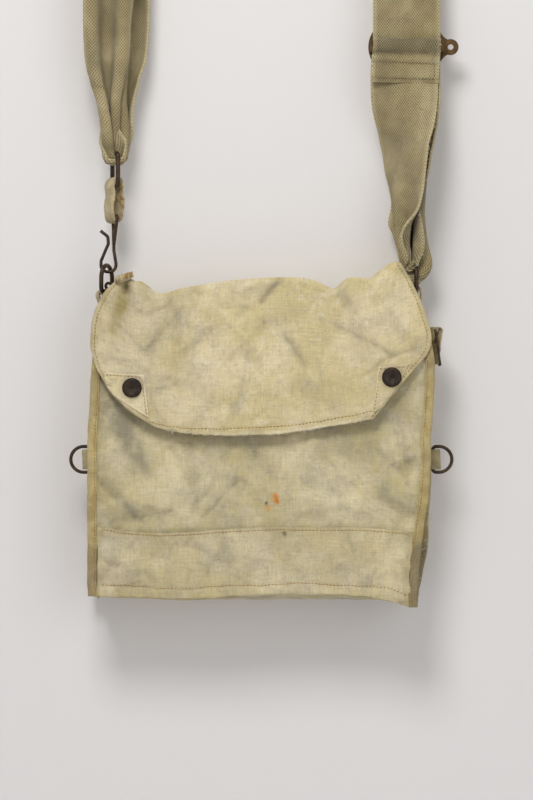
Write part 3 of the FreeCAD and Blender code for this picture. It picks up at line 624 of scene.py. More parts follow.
BODY_CANVAS = canvas("body_canvas", paint(209, 197, 161), paint(190, 177, 131), paint(150, 144, 128), 0.0)
BAND_CANVAS = canvas("band_canvas", paint(212, 199, 163), paint(198, 184, 141), paint(157, 150, 132), 3.1)
FLAP_CANVAS = canvas("flap_canvas", paint(213, 199, 163), paint(198, 183, 137), paint(156, 148, 128), 5.3)
PATCH_CANVAS = canvas("patch_canvas", paint(216, 202, 166), paint(204, 189, 145), paint(164, 155, 132), 7.7)
BINDING_TAPE = ribbed_tape("binding_tape", paint(208, 189, 132), paint(172, 151, 94), 0.4)
TAB_TAPE = ribbed_tape("tab_tape", paint(208, 194, 154), paint(172, 156, 112), 1.9)
SLING_WEBBING = webbing("webbing", paint(184, 170, 130), paint(165, 149, 105), paint(134, 120, 88), 0.0)
SEAM_THREAD = thread("seam_thread", paint(186, 148, 80), paint(148, 114, 60))
CREAM_THREAD = thread("cream_thread", paint(198, 170, 108), paint(150, 118, 66))
KHAKI_THREAD = thread("khaki_thread", paint(128, 112, 72), paint(90, 76, 46))
OCHRE_FRAY = thread("ochre_fray", paint(196, 160, 92), paint(152, 116, 58))
PALE_FRAY = thread("pale_fray", paint(232, 224, 204), paint(206, 196, 168))
SNAP_METAL = old_metal("snap_metal", paint(46, 42, 40), paint(66, 54, 44), paint(116, 98, 80), 0.0)
DARK_METAL = old_metal("dark_metal", paint(58, 52, 46), paint(88, 70, 52), paint(150, 134, 112), 0.25)
BRONZE = old_metal("bronze", paint(74, 60, 42), paint(108, 82, 52), paint(156, 128, 86), 0.05)

# ---- cloth shapes ---------------------------------------------------------------------------


def drape(grid, hold, growth, gravity=0.25, steps=20):
    """Cloth simulation: a coarse cloth grows a little and buckles between its held points.

    hold is 1 where a point may not move and 0 where it is free. The result is each point's shift.
    """
    rows, columns = grid.shape[:2]
    mesh = bpy.data.meshes.new("draped")
    mesh.from_pydata(grid.reshape(-1, 3).tolist(), [], grid_faces(rows, columns))
    cloth = bpy.data.objects.new("draped", mesh)
    bpy.context.scene.collection.objects.link(cloth)
    pins = cloth.vertex_groups.new(name="pins")
    for index, weight in enumerate(np.ravel(hold)):
        if weight > 0:
            pins.add([index], float(weight), "REPLACE")
    modifier = cloth.modifiers.new("cloth", "CLOTH")
    settings = modifier.settings
    settings.quality = 6
    settings.mass = 0.3
    settings.tension_stiffness = 15
    settings.compression_stiffness = 15
    settings.shear_stiffness = 6
    settings.bending_stiffness = 0.8
    settings.vertex_group_mass = "pins"
    settings.shrink_min = -growth
    settings.effector_weights.gravity = gravity
    modifier.collision_settings.use_collision = False
    for step in range(1, steps + 1):
        bpy.context.scene.frame_set(step)
    draped = cloth.evaluated_get(bpy.context.evaluated_depsgraph_get()).data
    places = np.zeros(rows * columns * 3, np.float32)
    draped.vertices.foreach_get("co", places)
    bpy.data.objects.remove(cloth)
    bpy.data.meshes.remove(mesh)
    bpy.context.scene.frame_set(1)
    return places.reshape(rows, columns, 3) - grid


def capped(shift, limit):
    """Keeps every shift shorter than limit, softly."""
    length = np.linalg.norm(shift, axis=-1, keepdims=True)
    return shift / np.sqrt(1 + (length / limit) ** 2)


def refine(shift, rows, columns):
    """A coarse shift spread smoothly over a finer grid."""
    return resize(resize(shift, rows, 0), columns, 1)


def marks_at(across, up, marks):
    """How strongly each point lies on a list of marks (x, z, x, z, width, strength) given in mm."""
    total = np.zeros_like(across)
    for x1, z1, x2, z2, width, strength in marks:
        run = np.array([x2 - x1, z2 - z1]) * MM
        from_x = across - x1 * MM
        from_z = up - z1 * MM
        share = np.clip((from_x * run[0] + from_z * run[1]) / max(run @ run, 1e-12), 0, 1)
        distance = np.hypot(from_x - share * run[0], from_z - share * run[1])
        total = total + strength * bell(distance, width * MM)
    return total


def crease_dirt_and_shade(across, up, creases, width=1.5, strength=0.27):
    """A thin grey line along each crease: settled dirt, deepened as painted shade in the crease."""
    lines = [(x1, z1, x2, z2, width, strength) for x1, z1, x2, z2, _, _ in creases]
    return marks_at(across, up, lines) * (0.55 + 0.45 * rough_noise(across, up, 7 * MM, 67))


def along_line(line, share, scale=MM):
    """The height of a line given as (share, height) points, joined by a smooth curve."""
    curve = through(np.array(line) * [1, 0.01], 400, 2)
    return np.interp(share, curve[:, 0], curve[:, 1] * 100) * scale


# The fold over the mouth, in mm above the CAD fold, at shares of the flap's half width
FOLD_LINE = [
    (-0.82, 1), (-0.76, -2), (-0.64, -10.5), (-0.57, -12), (-0.46, -8), (-0.32, -5), (-0.12, -1.5),
    (0.14, 0), (0.29, -1.5), (0.39, -7), (0.44, -8.4), (0.51, -1), (0.6, -0.5), (0.65, -1),
    (0.70, 5), (0.77, 11.4), (0.82, 11.7),
]
# The band's upper and lower edges, in mm from the CAD band's, at shares of the panel's half width
BAND_LINE = [
    (-1, 2.2), (-0.76, -1.5), (-0.54, -2.4), (-0.07, 1.3), (0.35, 1.7), (0.63, 1.4), (0.87, -1.2), (1, -3.2),
]
BOTTOM_LINE = [
    (-1, 3.5), (-0.68, 1.9), (-0.37, 1.1), (-0.07, 3.9), (0.16, 4.7), (0.4, 4.2), (0.61, 2.8), (0.79, 0.3),
    (1, -5),
]
# How far the bag's sides are drawn in, in mm, at heights in mm
LEFT_PINCH = [(120, 0), (188, 3), (208, 5), (219, 8), (226, 11.5), (234, 16.5), (247, 23)]
RIGHT_PINCH = [(185, 0), (200, 2.5), (210, 6.5), (220, 10), (229, 13.5), (239, 19), (247, 23.5)]
# How far the two right seams have slipped inward, in mm, at heights in mm
FRONT_SLIP = [(-10, -13.5), (0, -13.5), (38, -11.5), (55, -8.8), (75, -5), (110, -3.2), (177, 0), (260, 0)]
REAR_SLIP = [(-10, -12.5), (0, -12), (20, -8), (38, -4.5), (60, -1.5), (85, 0), (260, 0)]


def fold_height(x):
    """The height of the flap's fold over the mouth."""
    return FLAP_TOP + along_line(FOLD_LINE, x / FLAP_HALF)


def bottom_height(x):
    """The height of the bag's lower edge."""
    return along_line(BOTTOM_LINE, x / PANEL_HALF)


def band_height(x):
    """The height of the band's upper edge."""
    return BAND_TOP + along_line(BAND_LINE, x / PANEL_HALF)


def seam_slip(z, line=FRONT_SLIP):
    """How far a right seam has slipped inward at height z, softened between the given heights."""
    heights, slips = np.array(line, float).T * MM
    soft = [np.interp(z + step * 5 * MM, heights, slips) for step in (-2, -1, 0, 1, 2)]
    return sum(soft) / len(soft)


def mouth_pinch(z, sign):
    """How far a side edge of the bag is drawn in towards the mouth, where the flap hides its corner."""
    heights, moves = np.array(LEFT_PINCH if sign < 0 else RIGHT_PINCH, float).T * MM
    return np.interp(z, heights, moves)


def slipped(x, z, line=FRONT_SLIP):
    """Moves a panel's point sideways with its slipped right seam and its drawn-in mouth."""
    share = np.abs(x) / PANEL_HALF
    slip = seam_slip(z, line) * (x > 0) * share ** 3
    drawn = np.where(x < 0, mouth_pinch(z, -1), mouth_pinch(z, 1))
    return x + slip - np.sign(x) * share ** 3 * drawn


def panel_top(x):
    """The front panel's top edge, which stays below the fold."""
    return np.minimum(PANEL_TOP, fold_height(x) - 8 * MM)


# Creases, smears and stains are rows (x, z, x, z, width, strength) in mm, from one end to the other
FRONT_CREASES = [
    (-118, 142, -86, 100, 4, 0.9), (-126, 95, -93, 66, 3, 1.1), (-70, 118, -52, 84, 4, -0.8),
    (-30, 100, 18, 78, 5, 0.8), (40, 122, 66, 92, 4, 0.7), (84, 120, 112, 96, 3.6, -0.8),
    (92, 82, 122, 70, 3.4, 1.0), (-20, 70, -4, 112, 4, -0.7), (60, 74, 96, 62, 4, 0.6),
    (-104, 62, -60, 72, 4, -0.6), (-58, 66, -34, 98, 2.8, 0.8), (-44, 64, -18, 92, 2.6, -0.7),
    (-100, 76, -66, 68, 3, 0.7), (30, 68, 78, 76, 3, 0.6), (100, 104, 122, 112, 3, 0.7),
]
BAND_CREASES = [
    (-92, 56, -104, 34, 3, 0.7), (-62, 54, -74, 30, 4, 0.6), (-110, 8, -84, 20, 3.4, 0.7),
    (-20, 34, 10, 30, 5, 0.6), (22, 52, 30, 36, 3, -0.6), (66, 54, 74, 34, 3.4, 0.8),
    (84, 12, 104, 22, 3.2, 0.7), (-46, 14, -30, 44, 4, -0.6),
]
FRONT_SMEARS = [
    (-116, 146, -98, 118, 7, 0.62), (-98, 118, -88, 102, 6, 0.5), (-124, 96, -94, 66, 4, 0.42),
    (96, 84, 122, 70, 9, 0.5), (60, 118, 96, 112, 9, 0.34), (-12, 122, 8, 96, 7, 0.3),
    (-60, 84, -20, 66, 9, 0.3), (10, 66, 50, 62, 10, 0.3), (-118, 60, -80, 66, 6, 0.35),
    (20, 88, 34, 112, 6, 0.25), (112, 120, 118, 90, 5, 0.35), (-40, 112, -26, 128, 9, 0.3),
]
RUST_MARKS = [(10.8, 81.4, 12.4, 75.8, 1.5, 1.3), (4.4, 72.5, 5.6, 70.2, 1.5, 0.5), (8, 79, 9, 77, 0.8, 0.4)]
SOOT_MARKS = [(3.8, 75.1, 3.9, 75.0, 1.0, 1.3), (17.2, 51.9, 18, 51.5, 1.1, 0.9)]


def near_edge(s, t):
    """How near each point of a panel is to its nearest edge, as a share of the panel."""
    return np.minimum(np.minimum(s, 1 - s)[None, :], np.minimum(t, 1 - t)[:, None])


def front_panel_base(s, t):
    """The front panel before it wrinkles: its middle surface at shares s across and t up."""
    across, up = np.meshgrid(s, t)
    x = (2 * across - 1) * PANEL_HALF
    z = bottom_height(x) * (1 - up) + panel_top(x) * up
    fullness = np.cos(x / PANEL_HALF * math.pi / 2) ** 0.8
    belly = 3.4 * MM * fullness * bell(z - 92 * MM, 62 * MM)
    out = belly - CANVAS / 2
    return np.stack([slipped(x, z), face_y(z, out), z], axis=2), x, z


def make_front_panel():
    """The draped and creased front panel, which lies flat under the caps and the flap."""
    rows, columns = 165, 176
    coarse_s, coarse_t = np.linspace(0, 1, 44), np.linspace(0, 1, 40)
    coarse, x, z = front_panel_base(coarse_s, coarse_t)
    hold = np.clip(1 - near_edge(coarse_s, coarse_t) / 0.03, 0, 1)
    hold = np.maximum(hold, 0.25 * smooth((z - 170 * MM) / (20 * MM)))
    coarse[..., 1] += 0.4 * MM * noise(x, z, 13 * MM, 4)
    shift = capped(drape(coarse, hold, 0.012), 3.2 * MM)
    grid, x, z = front_panel_base(np.linspace(0, 1, columns), np.linspace(0, 1, rows))
    grid = grid + refine(shift, rows, columns)
    y = grid[..., 1]
    soft = 0.8 * MM * rough_noise(x, z, 34 * MM, 11) + 0.3 * MM * rough_noise(x, z, 9 * MM, 21)
    soft = soft - 3.2 * MM * crumple(x, z, 31 * MM, 13)
    crease = marks_at(x, z, FRONT_CREASES) * 2.1 * MM
    crease += 0.7 * MM * noise(x * 0.25, z, 7 * MM, 15) * bell(PANEL_HALF - np.abs(x) - 8 * MM, 9 * MM)
    sewn = bell(z - band_height(x) - 1 * MM, 2.2 * MM) * 0.5 * MM
    covered = smooth((z - 138 * MM) / (20 * MM))
    inside = smooth((PANEL_HALF - np.abs(x)) / (8 * MM))
    y -= (soft + crease - sewn) * (1 - 0.8 * covered) * inside
    under_flap = np.maximum(y, face_y(z, 2.4 * MM - CANVAS / 2))
    y[:] = np.where(z > 130 * MM, under_flap, y)
    flat = 1 - smooth((near_snap(x, z) - 10 * MM) / (6 * MM))
    y[:] = y * (1 - flat) + face_y(z, -CANVAS / 2) * flat
    return Cloth(grid, np.stack([x, z], axis=2), CANVAS), x, z


def snap_places():
    """Each cap's centre (x, z), from the frame's own caps."""
    corners = np.array([vertex.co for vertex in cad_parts["snap_caps"].data.vertices])
    places = {}
    for side, sign in (("left", -1), ("right", 1)):
        cap = corners[sign * corners[:, 0] > 0]
        places[side] = ((cap.min(0) + cap.max(0)) / 2)[[0, 2]]
    return places


SNAPS = snap_places()


def near_snap(x, z):
    """The distance to the nearer cap's centre."""
    return np.minimum(*[np.hypot(x - place[0], z - place[1]) for place in SNAPS.values()])


def on_panel(x, z):
    """The shares (s, t) of a place on the front panel."""
    bottom = bottom_height(x)
    return (x / PANEL_HALF + 1) / 2, (z - bottom) / (panel_top(x) - bottom)


BAND_HALF = PANEL_HALF - 2.6 * MM
BAND_STITCH = 1.6 * MM  # below the band's upper edge
HEM_STITCH = 8.2 * MM  # above its foot


def make_band(panel):
    """The lower band, puffed between its hem and its sewn upper edge."""
    rows, columns = 44, 176
    across, up = np.meshgrid(np.linspace(-BAND_HALF, BAND_HALF, columns), np.linspace(0, 1, rows))
    foot = bottom_height(across)
    z = foot * (1 - up) + band_height(across) * up
    grid, normal = panel.place(*on_panel(across, z), LIGHT_CANVAS / 2 + 0.1 * MM)
    below = band_height(across) - z
    hem = 0.5 * MM * smooth(1 - (z - foot) / (8 * MM)) + 0.35 * MM * bell(below, 2.5 * MM)
    pinch = 0.5 * MM * (bell(z - foot - HEM_STITCH, 1.3 * MM) + bell(below - BAND_STITCH, 1.0 * MM))
    puff = 0.9 * MM * (0.5 + rough_noise(across, z, 17 * MM, 35)) * bell(z - 28 * MM, 18 * MM)
    puff = np.abs(puff) + 1.1 * MM * crumple(across, z, 22 * MM, 37) * bell(z - 28 * MM, 20 * MM)
    puff = puff + 0.6 * MM * np.abs(marks_at(across, z, BAND_CREASES))
    grid = grid + normal * (hem - pinch + puff)[..., None]
    return Cloth(grid, np.stack([across, z], axis=2), LIGHT_CANVAS), across, z


def stitch_on(threads, cloth, s, t, **settings):
    """A row of stitches through the shares s across and t up. Either may be one number."""
    s, t = np.broadcast_arrays(np.asarray(s, float), np.asarray(t, float))
    points, normals = cloth.place(s, t)
    threads.stitch(points, normals, **settings)


def front_tones(x, z, seed, left_dirt=0.16):
    """Smears, rubbed places, rust and sooty spots on the bag's front, and painted shade below and under the
    flap. Its left half is the dirtier one.
    """
    broken = 0.75 + 0.25 * rough_noise(x, z, 8 * MM, seed)
    cloud = np.clip(left_dirt - 0.1 * x / PANEL_HALF + 0.16 * rough_noise(x, z, 26 * MM, seed + 5), 0, 0.5)
    smear_and_shade = marks_at(x, z, FRONT_SMEARS) * broken + cloud + crease_dirt_and_shade(x, z, FRONT_CREASES + BAND_CREASES)
    smear_and_shade = np.clip(smear_and_shade, 0, 0.75)
    olive = 0.5 * bell(PANEL_HALF - np.abs(x), 7 * MM) + 0.3 * bell(z - band_height(x), 5 * MM)
    olive = olive + 0.3 * bell(z - bottom_height(x), 6 * MM)
    # Painted shade that deepens from just below the flap's hem to under the flap
    under_flap = 0.28 * smooth((z - 118 * MM) / (20 * MM))
    rub = 0.4 * bell(np.abs(x) - PANEL_HALF + 8 * MM, 5 * MM) * np.clip(noise(x, z, 14 * MM, seed + 2), 0, 1)
    return {
        "smear_and_shade": np.clip(smear_and_shade + under_flap, 0, 0.8),
        "rub": rub,
        "rust": np.clip(marks_at(x, z, RUST_MARKS), 0, 1),
        "soot_and_shade": np.clip(marks_at(x, z, SOOT_MARKS), 0, 1),
        "olive": np.clip(olive * (0.7 + 0.5 * noise(x, z, 12 * MM, seed + 3)), 0, 0.7),
    }


def make_bag_front():
    """The front panel and its band, with the band's two rows of stitches."""
    panel, x, z = make_front_panel()
    dress(panel, "front_panel_cloth", BODY_CANVAS, "canvas", front_tones(x, z, 61), "bag", "front_panel")
    band, x, z = make_band(panel)
    tones = front_tones(x, z, 71, 0.26)
    dress(band, "front_lower_band_cloth", BAND_CANVAS, "canvas_band", tones, "bag", "front_lower_band")
    seams = Threads()
    s = np.linspace(0.012, 0.988, 500)
    reach = (2 * s - 1) * BAND_HALF
    height = band_height(reach) - bottom_height(reach)
    stitch_on(seams, band, s, 1 - BAND_STITCH / height)
    stitch_on(seams, band, s, (HEM_STITCH + 0.5 * MM * np.sin(s * 23)) / height)
    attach(seams.build("band_stitches", SEAM_THREAD, "canvas_band"), "bag")
    return panel


def plain_tones(x, z, seed, dirt=0.25):
    """Evenly patchy dirt without rubbed or stained places."""
    smear_and_shade = np.clip(dirt + dirt * rough_noise(x, z, 22 * MM, seed), 0, 0.7)
    none = np.zeros_like(x)
    return {"smear_and_shade": smear_and_shade, "rub": none, "rust": none, "soot_and_shade": none, "olive": none}


def make_back_panel():
    """The back, with a soft belly and folds between its seams."""
    rows, columns = 128, 136

    def base(s, t):
        across, up = np.meshgrid(s, t)
        x = (1 - 2 * across) * PANEL_HALF
        top = np.minimum(BACK_TOP, fold_height(x) - 3 * MM)
        z = 1.6 * MM * (1 - up) + top * up
        belly = 2.2 * MM * np.cos(x / PANEL_HALF * math.pi / 2) * np.sin(up * math.pi)
        return np.stack([slipped(x, z, REAR_SLIP), BACK_FACE - CANVAS / 2 + belly, z], axis=2), x, z

    coarse_s, coarse_t = np.linspace(0, 1, 40), np.linspace(0, 1, 38)
    coarse, x, z = base(coarse_s, coarse_t)
    hold = np.clip(1 - near_edge(coarse_s, coarse_t) / 0.03, 0, 1)
    coarse[..., 1] += 0.4 * MM * noise(x, z, 15 * MM, 14)
    shift = capped(drape(coarse, hold, 0.012), 3.5 * MM)
    grid, x, z = base(np.linspace(0, 1, columns), np.linspace(0, 1, rows))
    free = smooth((PANEL_HALF - np.abs(x)) / (14 * MM)) * smooth((BACK_TOP - z) / (16 * MM))
    rumple = 0.8 * MM * rough_noise(x, z, 38 * MM, 51) + 0.3 * MM * rough_noise(x, z, 9 * MM, 54)
    rumple = rumple - 2.8 * MM * crumple(x, z, 33 * MM, 56)
    grid = grid + refine(shift, rows, columns)
    grid[..., 1] += rumple * free
    cloth = Cloth(grid, np.stack([x + 0.5, z], axis=2), CANVAS)
    dress(cloth, "back_panel_cloth", BODY_CANVAS, "canvas", plain_tones(x, z, 81), "bag", "back_panel")
    seams = Threads()
    stitch_on(seams, cloth, np.linspace(0.03, 0.97, 400), 0.035)
    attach(seams.build("back_stitches", SEAM_THREAD, "canvas"), "bag")


def make_bottom_panel():
    """The base, which sags between the front and the back."""
    rows, columns = 36, 120
    across, back = np.meshgrid(np.linspace(-1, 1, columns), np.linspace(0, 1, rows))
    x = across * (PANEL_HALF - 3 * MM)
    front_y = face_y(0, -CANVAS)
    y = (BACK_FACE - CANVAS) * (1 - back) + front_y * back
    sag = 2.6 * MM * np.sin(back * math.pi) * np.cos(x / PANEL_HALF * math.pi / 2)
    z = 1.2 * MM * (1 - back) + (bottom_height(x) + 1.0 * MM) * back - sag
    z = z + 0.8 * MM * rough_noise(x, y, 24 * MM, 91) * np.sin(back * math.pi)
    grid = np.stack([slipped(x, z) * back + slipped(x, z, REAR_SLIP) * (1 - back), y, z], axis=2)
    cloth = Cloth(grid, np.stack([x, y + 0.8], axis=2), CANVAS)
    tones = plain_tones(x, y, 93, 0.35)
    dress(cloth, "bottom_panel_cloth", BODY_CANVAS, "canvas", tones, "bag", "bottom_panel")


def make_gusset(side):
    """A side wall: it sinks inward between its two seams and creases where the bag has been folded."""
    sign = 1 if side == "right" else -1
    rows, columns = 120, 34
    forward, up = np.meshgrid(np.linspace(0, 1, columns), np.linspace(0, 1, rows))
    back_share = forward if sign > 0 else 1 - forward
    z = GUSSET_FOOT + up * GUSSET_RISE
    y = face_y(z, -3.2 * MM) * (1 - back_share) + (BACK_FACE - 3.6 * MM) * back_share
    slip = 0
    if sign > 0:
        slip = seam_slip(z) * (1 - back_share) + seam_slip(z, REAR_SLIP) * back_share
    hollow = np.sin(back_share * math.pi)
    drawn = np.maximum(mouth_pinch(z, sign) - 7 * MM, 0) * (1 - hollow)
    free = 1 - bell(z - SIDE_TAB_Z, 16 * MM)
    sink = 3.4 * MM * hollow * smooth(z / (30 * MM)) * smooth((GUSSET_TOP - z) / (40 * MM))
    folds = 0.9 * MM * rough_noise(y * 1.6, z, 26 * MM, 95 + sign)
    folds = folds + 0.25 * MM * rough_noise(y, z, 7 * MM, 99)
    x = GUSSET_FACE - CANVAS / 2 + slip - drawn - sink * free + folds * hollow * free
    grid = np.stack([sign * x, y, z], axis=2)
    cloth = Cloth(grid, np.stack([y + 1.7 + sign, z], axis=2), CANVAS)
    tones = plain_tones(y, z, 101 + sign, 0.5)
    dress(cloth, f"gusset_{side}_cloth", BODY_CANVAS, "canvas", tones, "bag", f"gusset_{side}")


def make_binding(place, side, seams):
    """Folded tape round a side seam, sewn near its front lip."""
    sign = 1 if side == "right" else -1
    front = place == "front"
    lip = 4.4 * MM
    nose = 2.1 * MM if front else 1.8 * MM
    foot = bottom_height(sign * PANEL_HALF) if front else 1.2 * MM
    top = panel_top(sign * PANEL_HALF) + 1 * MM if front else BACK_TOP - 3 * MM
    z = np.linspace(foot, top, 170)
    turn = np.linspace(-math.pi / 2, math.pi / 2, 9)
    lips = np.linspace(-lip, 0, 7)[:-1]
    out = np.concatenate([lips, nose * np.cos(turn), lips[::-1]])
    deep = np.concatenate([np.full(6, -nose), nose * np.sin(turn), np.full(6, nose)])
    if sign < 0:
        out, deep = out[::-1], deep[::-1]
    wave = 0.5 * MM * noise(z, z * 0, 21 * MM, 111 + sign) + 0.25 * MM * noise(z, z * 0, 6 * MM, 113)
    centre_x = PANEL_HALF + (2.3 if front else 0.9) * MM + wave - mouth_pinch(z, sign)
    if sign > 0:
        centre_x = centre_x + seam_slip(z, FRONT_SLIP if front else REAR_SLIP)
    if not front:
        centre_x = centre_x + 1.9 * MM * (1 - smooth((z - 30 * MM) / (40 * MM)))
    centre_y = face_y(z, -CANVAS / 2) if front else np.full_like(z, BACK_FACE - CANVAS / 2)
    pinch = 1 - 0.1 * bell(out + lip * 0.8, 1.2 * MM)
    swell = 1 + 0.12 * noise(z, z * 0, 12 * MM, 117 + sign)
    x = sign * (centre_x[:, None] + out[None, :])
    y = centre_y[:, None] + (deep * pinch)[None, :] * swell[:, None]
    height = np.repeat(z[:, None], len(out), axis=1)
    width = travelled(np.stack([out, deep], axis=1))
    pattern = np.stack([np.repeat(width[None, :], len(z), 0), height], axis=2)
    cloth = Cloth(np.stack([x, y, height], axis=2), pattern, TAPE)
    worn_corner = (0.85 if sign > 0 else 0.3) * (1 - smooth((height - 8 * MM) / (52 * MM)))
    dirt = np.clip(0.3 + worn_corner + 0.35 * rough_noise(height, x, 18 * MM, 119), 0, 0.9)
    node = f"binding_{place}_{side}"
    dress(cloth, f"{node}_tape", BINDING_TAPE, "binding_tape", {"smear_and_shade": dirt}, "bag", node)
    sewn = 1.2 * MM / width[-1]
    if (sign < 0) == front:
        sewn = 1 - sewn
    stitch_on(seams, cloth, sewn, np.linspace(0.004, 0.996, 600))


def make_seam_frays():
    """Pale tufts where the lower right seams have worn through."""
    frays = Threads()
    random = np.random.RandomState(125)
    for height, count in ((38, 34), (61, 18), (12, 12), (80, 8)):
        for _ in range(count):
            z = (height + random.normal(0, 3.2)) * MM
            edge = PANEL_HALF + 2.6 * MM + seam_slip(z, REAR_SLIP)
            spot = np.array([edge - random.uniform(0, 3) * MM, BACK_FACE - random.uniform(1, 5) * MM, z])
            add_fray(frays, random, spot, (0.9, -0.6, random.uniform(-0.9, 0.7)), 4.2 * MM)
    for _ in range(26):
        x = (108 + random.normal(0, 3)) * MM
        spot = (x, face_y(0, 1.4 * MM), random.uniform(-3.4, 1.5) * MM)
        add_fray(frays, random, spot, (random.uniform(-0.5, 0.5), -0.6, -0.9), 2.6 * MM)
    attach(frays.build("seam_frays", PALE_FRAY, "canvas"), "bag")
    make_torn_corner(random)


def make_torn_corner(random):
    """Loose yarns of the binding tape round the lower right corner and up its seam."""
    torn = Threads()
    for _ in range(70):
        z = random.uniform(-3.6, 3) * MM
        edge = PANEL_HALF + 2.6 * MM + seam_slip(z)
        spot = (edge - random.uniform(-0.6, 5) * MM, face_y(z, random.uniform(-2.2, 1.2) * MM), z)
        add_fray(torn, random, spot, (random.uniform(-0.2, 0.9), -0.4, -0.8), 2.6 * MM, 0.2 * MM)
    for _ in range(80):
        z = random.uniform(2, 52) * MM
        spot = (PANEL_HALF + 4.2 * MM + seam_slip(z), face_y(z, -1.4 * MM), z)
        add_fray(torn, random, spot, (0.5, -0.3, random.uniform(-1, 1)), 1.8 * MM)
    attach(torn.build("torn_corner_frays", OCHRE_FRAY, "binding_tape"), "bag")


def make_inside():
    """What shows with the flap up: the turned mouth hem and the squares behind the studs."""
    seams = Threads()
    columns = 150
    half = GUSSET_FACE - 4.5 * MM
    across, up = np.meshgrid(np.linspace(half, -half, columns), np.linspace(0, 1, 16))
    z = panel_top(across) - 16 * MM + up * 15.4 * MM
    depth = CANVAS + LIGHT_CANVAS / 2 + 0.15 * MM
    grid, normal = FRONT_PANEL.place(*on_panel(across, z), -depth)
    grid = grid - normal * (0.3 * MM * np.abs(rough_noise(across, z, 15 * MM, 121)))[..., None]
    hem = Cloth(grid, np.stack([across + 0.3, z], axis=2), LIGHT_CANVAS)
    dress(hem, "front_hem_cloth", BAND_CANVAS, "canvas", plain_tones(across, z, 123), "bag", "front_hem")
    stitch_on(seams, hem, np.linspace(0.01, 0.99, 500), 0.15)
    rise = (SNAPS["right"] - SNAPS["left"])[1]
    reach = (high("stud_patches")[2] - low("stud_patches")[2] - rise) / 2
    rim = np.linspace(0.09, 0.91, 60)
    for side, (snap_x, snap_z) in SNAPS.items():
        x, z = np.meshgrid(np.linspace(reach, -reach, 22) + snap_x, np.linspace(-reach, reach, 22) + snap_z)
        patch = Cloth(FRONT_PANEL.place(*on_panel(x, z), -depth)[0], np.stack([x, z], axis=2), LIGHT_CANVAS)
        nodes = ["stud_patches"] if side == "left" else []
        dress(patch, f"stud_patch_{side}", BAND_CANVAS, "canvas", plain_tones(x, z, 131), "bag", *nodes)
        for s, t in ((rim, rim[0]), (rim, rim[-1]), (rim[0], rim), (rim[-1], rim)):
            stitch_on(seams, patch, s, t)
    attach(seams.build("inside_stitches", KHAKI_THREAD, "canvas"), "bag")


# ---- the flap -------------------------------------------------------------------------------

# Its outline, bottom to top or left to right, at shares of half its width and of its drop
FLAP_LEFT = [
    (-0.686, 0.1), (-0.79, 0.16), (-0.895, 0.27), (-0.966, 0.41), (-1.003, 0.54), (-1.003, 0.67),
    (-0.985, 0.78), (-0.93, 0.9), (-0.87, 0.97), (-0.82, 1.01),
]
FLAP_RIGHT = [
    (0.66, 0.1), (0.765, 0.235), (0.875, 0.38), (0.98, 0.52), (1.0, 0.61), (0.985, 0.71), (0.943, 0.85),
    (0.885, 0.98), (0.82, 1.1),
]
FLAP_BOTTOM = [
    (-0.686, 0.1), (-0.615, 0.045), (-0.46, 0.012), (-0.285, 0), (-0.12, 0), (0.1, 0.008), (0.28, 0.034),
    (0.48, 0.068), (0.66, 0.1),
]
APRON_SHARE = 0.78
FLAP_CREASES = [
    (-104, 250, -103, 237, 3.2, -2.8), (-105, 238, -112, 217, 6.5, -2.2), (-98.5, 249, -94, 226, 4.2, 2.6),
    (-112, 242, -121, 224, 2.8, 1.8), (-88, 222, -68, 232, 2.6, 0.8), (-72, 218, -86, 196, 2.6, 0.9),
    (-64, 190, -34, 214, 2.6, 0.8), (-84, 160, -62, 170, 2.6, 0.7), (-24, 188, 2, 214, 3, 0.7),
    (13.6, 247, 0.5, 229, 3.0, -1.6), (56.7, 212, 103, 188.7, 5, -1.3), (18.2, 204, 33.6, 181, 4, -1.0),
    (-62.6, 223, -88, 193, 6, 1.1), (-112, 214, -84, 186, 5, -0.8), (-40, 226, -10, 196, 8, 0.9),
    (64, 238, 78, 214, 5, 1.0), (44, 236, 30, 214, 5, -1.0), (88, 236, 112, 206, 5, 1.1),
    (-20, 172, 24, 160, 8, 0.9), (-70, 168, -36, 150, 6, -0.8), (54, 176, 82, 160, 5, 0.8),
    (-112, 188, -92, 180, 4, 0.9), (92, 192, 108, 186, 3, 0.8),
]
FOLD_CREASES = 4  # the first ones lie in the rolled shoulder and hold no line of dirt and painted shade
# The first two are painted shade in the broad fold below the left shoulder; the rest are grey smears
FLAP_SMEARS_AND_SHADE = [
    (-105, 240, -112, 222, 6, 0.3), (-102, 226, -108, 214, 7, 0.2),
    (14, 246, 1, 230, 3.2, 0.65), (57, 212, 100, 190, 3.6, 0.38), (18, 204, 34, 181, 3.4, 0.55),
    (-64, 224, -86, 196, 8, 0.3), (30, 166, 58, 150, 9, 0.32), (-106, 158, -92, 176, 6, 0.4),
    (60, 238, 72, 226, 6, 0.35), (-56, 178, -40, 158, 9, 0.26), (4, 214, 26, 222, 8, 0.3),
    (100, 216, 118, 196, 6, 0.25), (-22, 236, 4, 240, 5, 0.25), (74, 196, 92, 178, 6, 0.3),
]
# Painted olive shade in the folds below the rolled left shoulder
FLAP_OLIVE_SHADE = [
    (-105, 246, -108, 226, 4.2, 0.8), (-108, 230, -114, 210, 6, 0.6), (-120, 236, -128, 200, 4, 0.4),
    (-92, 244, -84, 226, 4, 0.3),
]
# Painted near-black shade in the deep crease under the rolled shoulder
FLAP_CREASE_SHADE = [(-103.6, 250, -103.4, 242, 2.0, 0.42), (-104, 242, -105, 236, 2.6, 0.26)]
# The flap bends over the fold between these two places
PATTERN_DROP = 152 * MM
HEM_ROW = 7.6 * MM


def flap_outline(shares):
    """Outline points in metres from shares of the flap's half width and drop."""
    return np.array(shares) * [FLAP_HALF, FLAP_DROP] + [0, FLAP_FOOT]


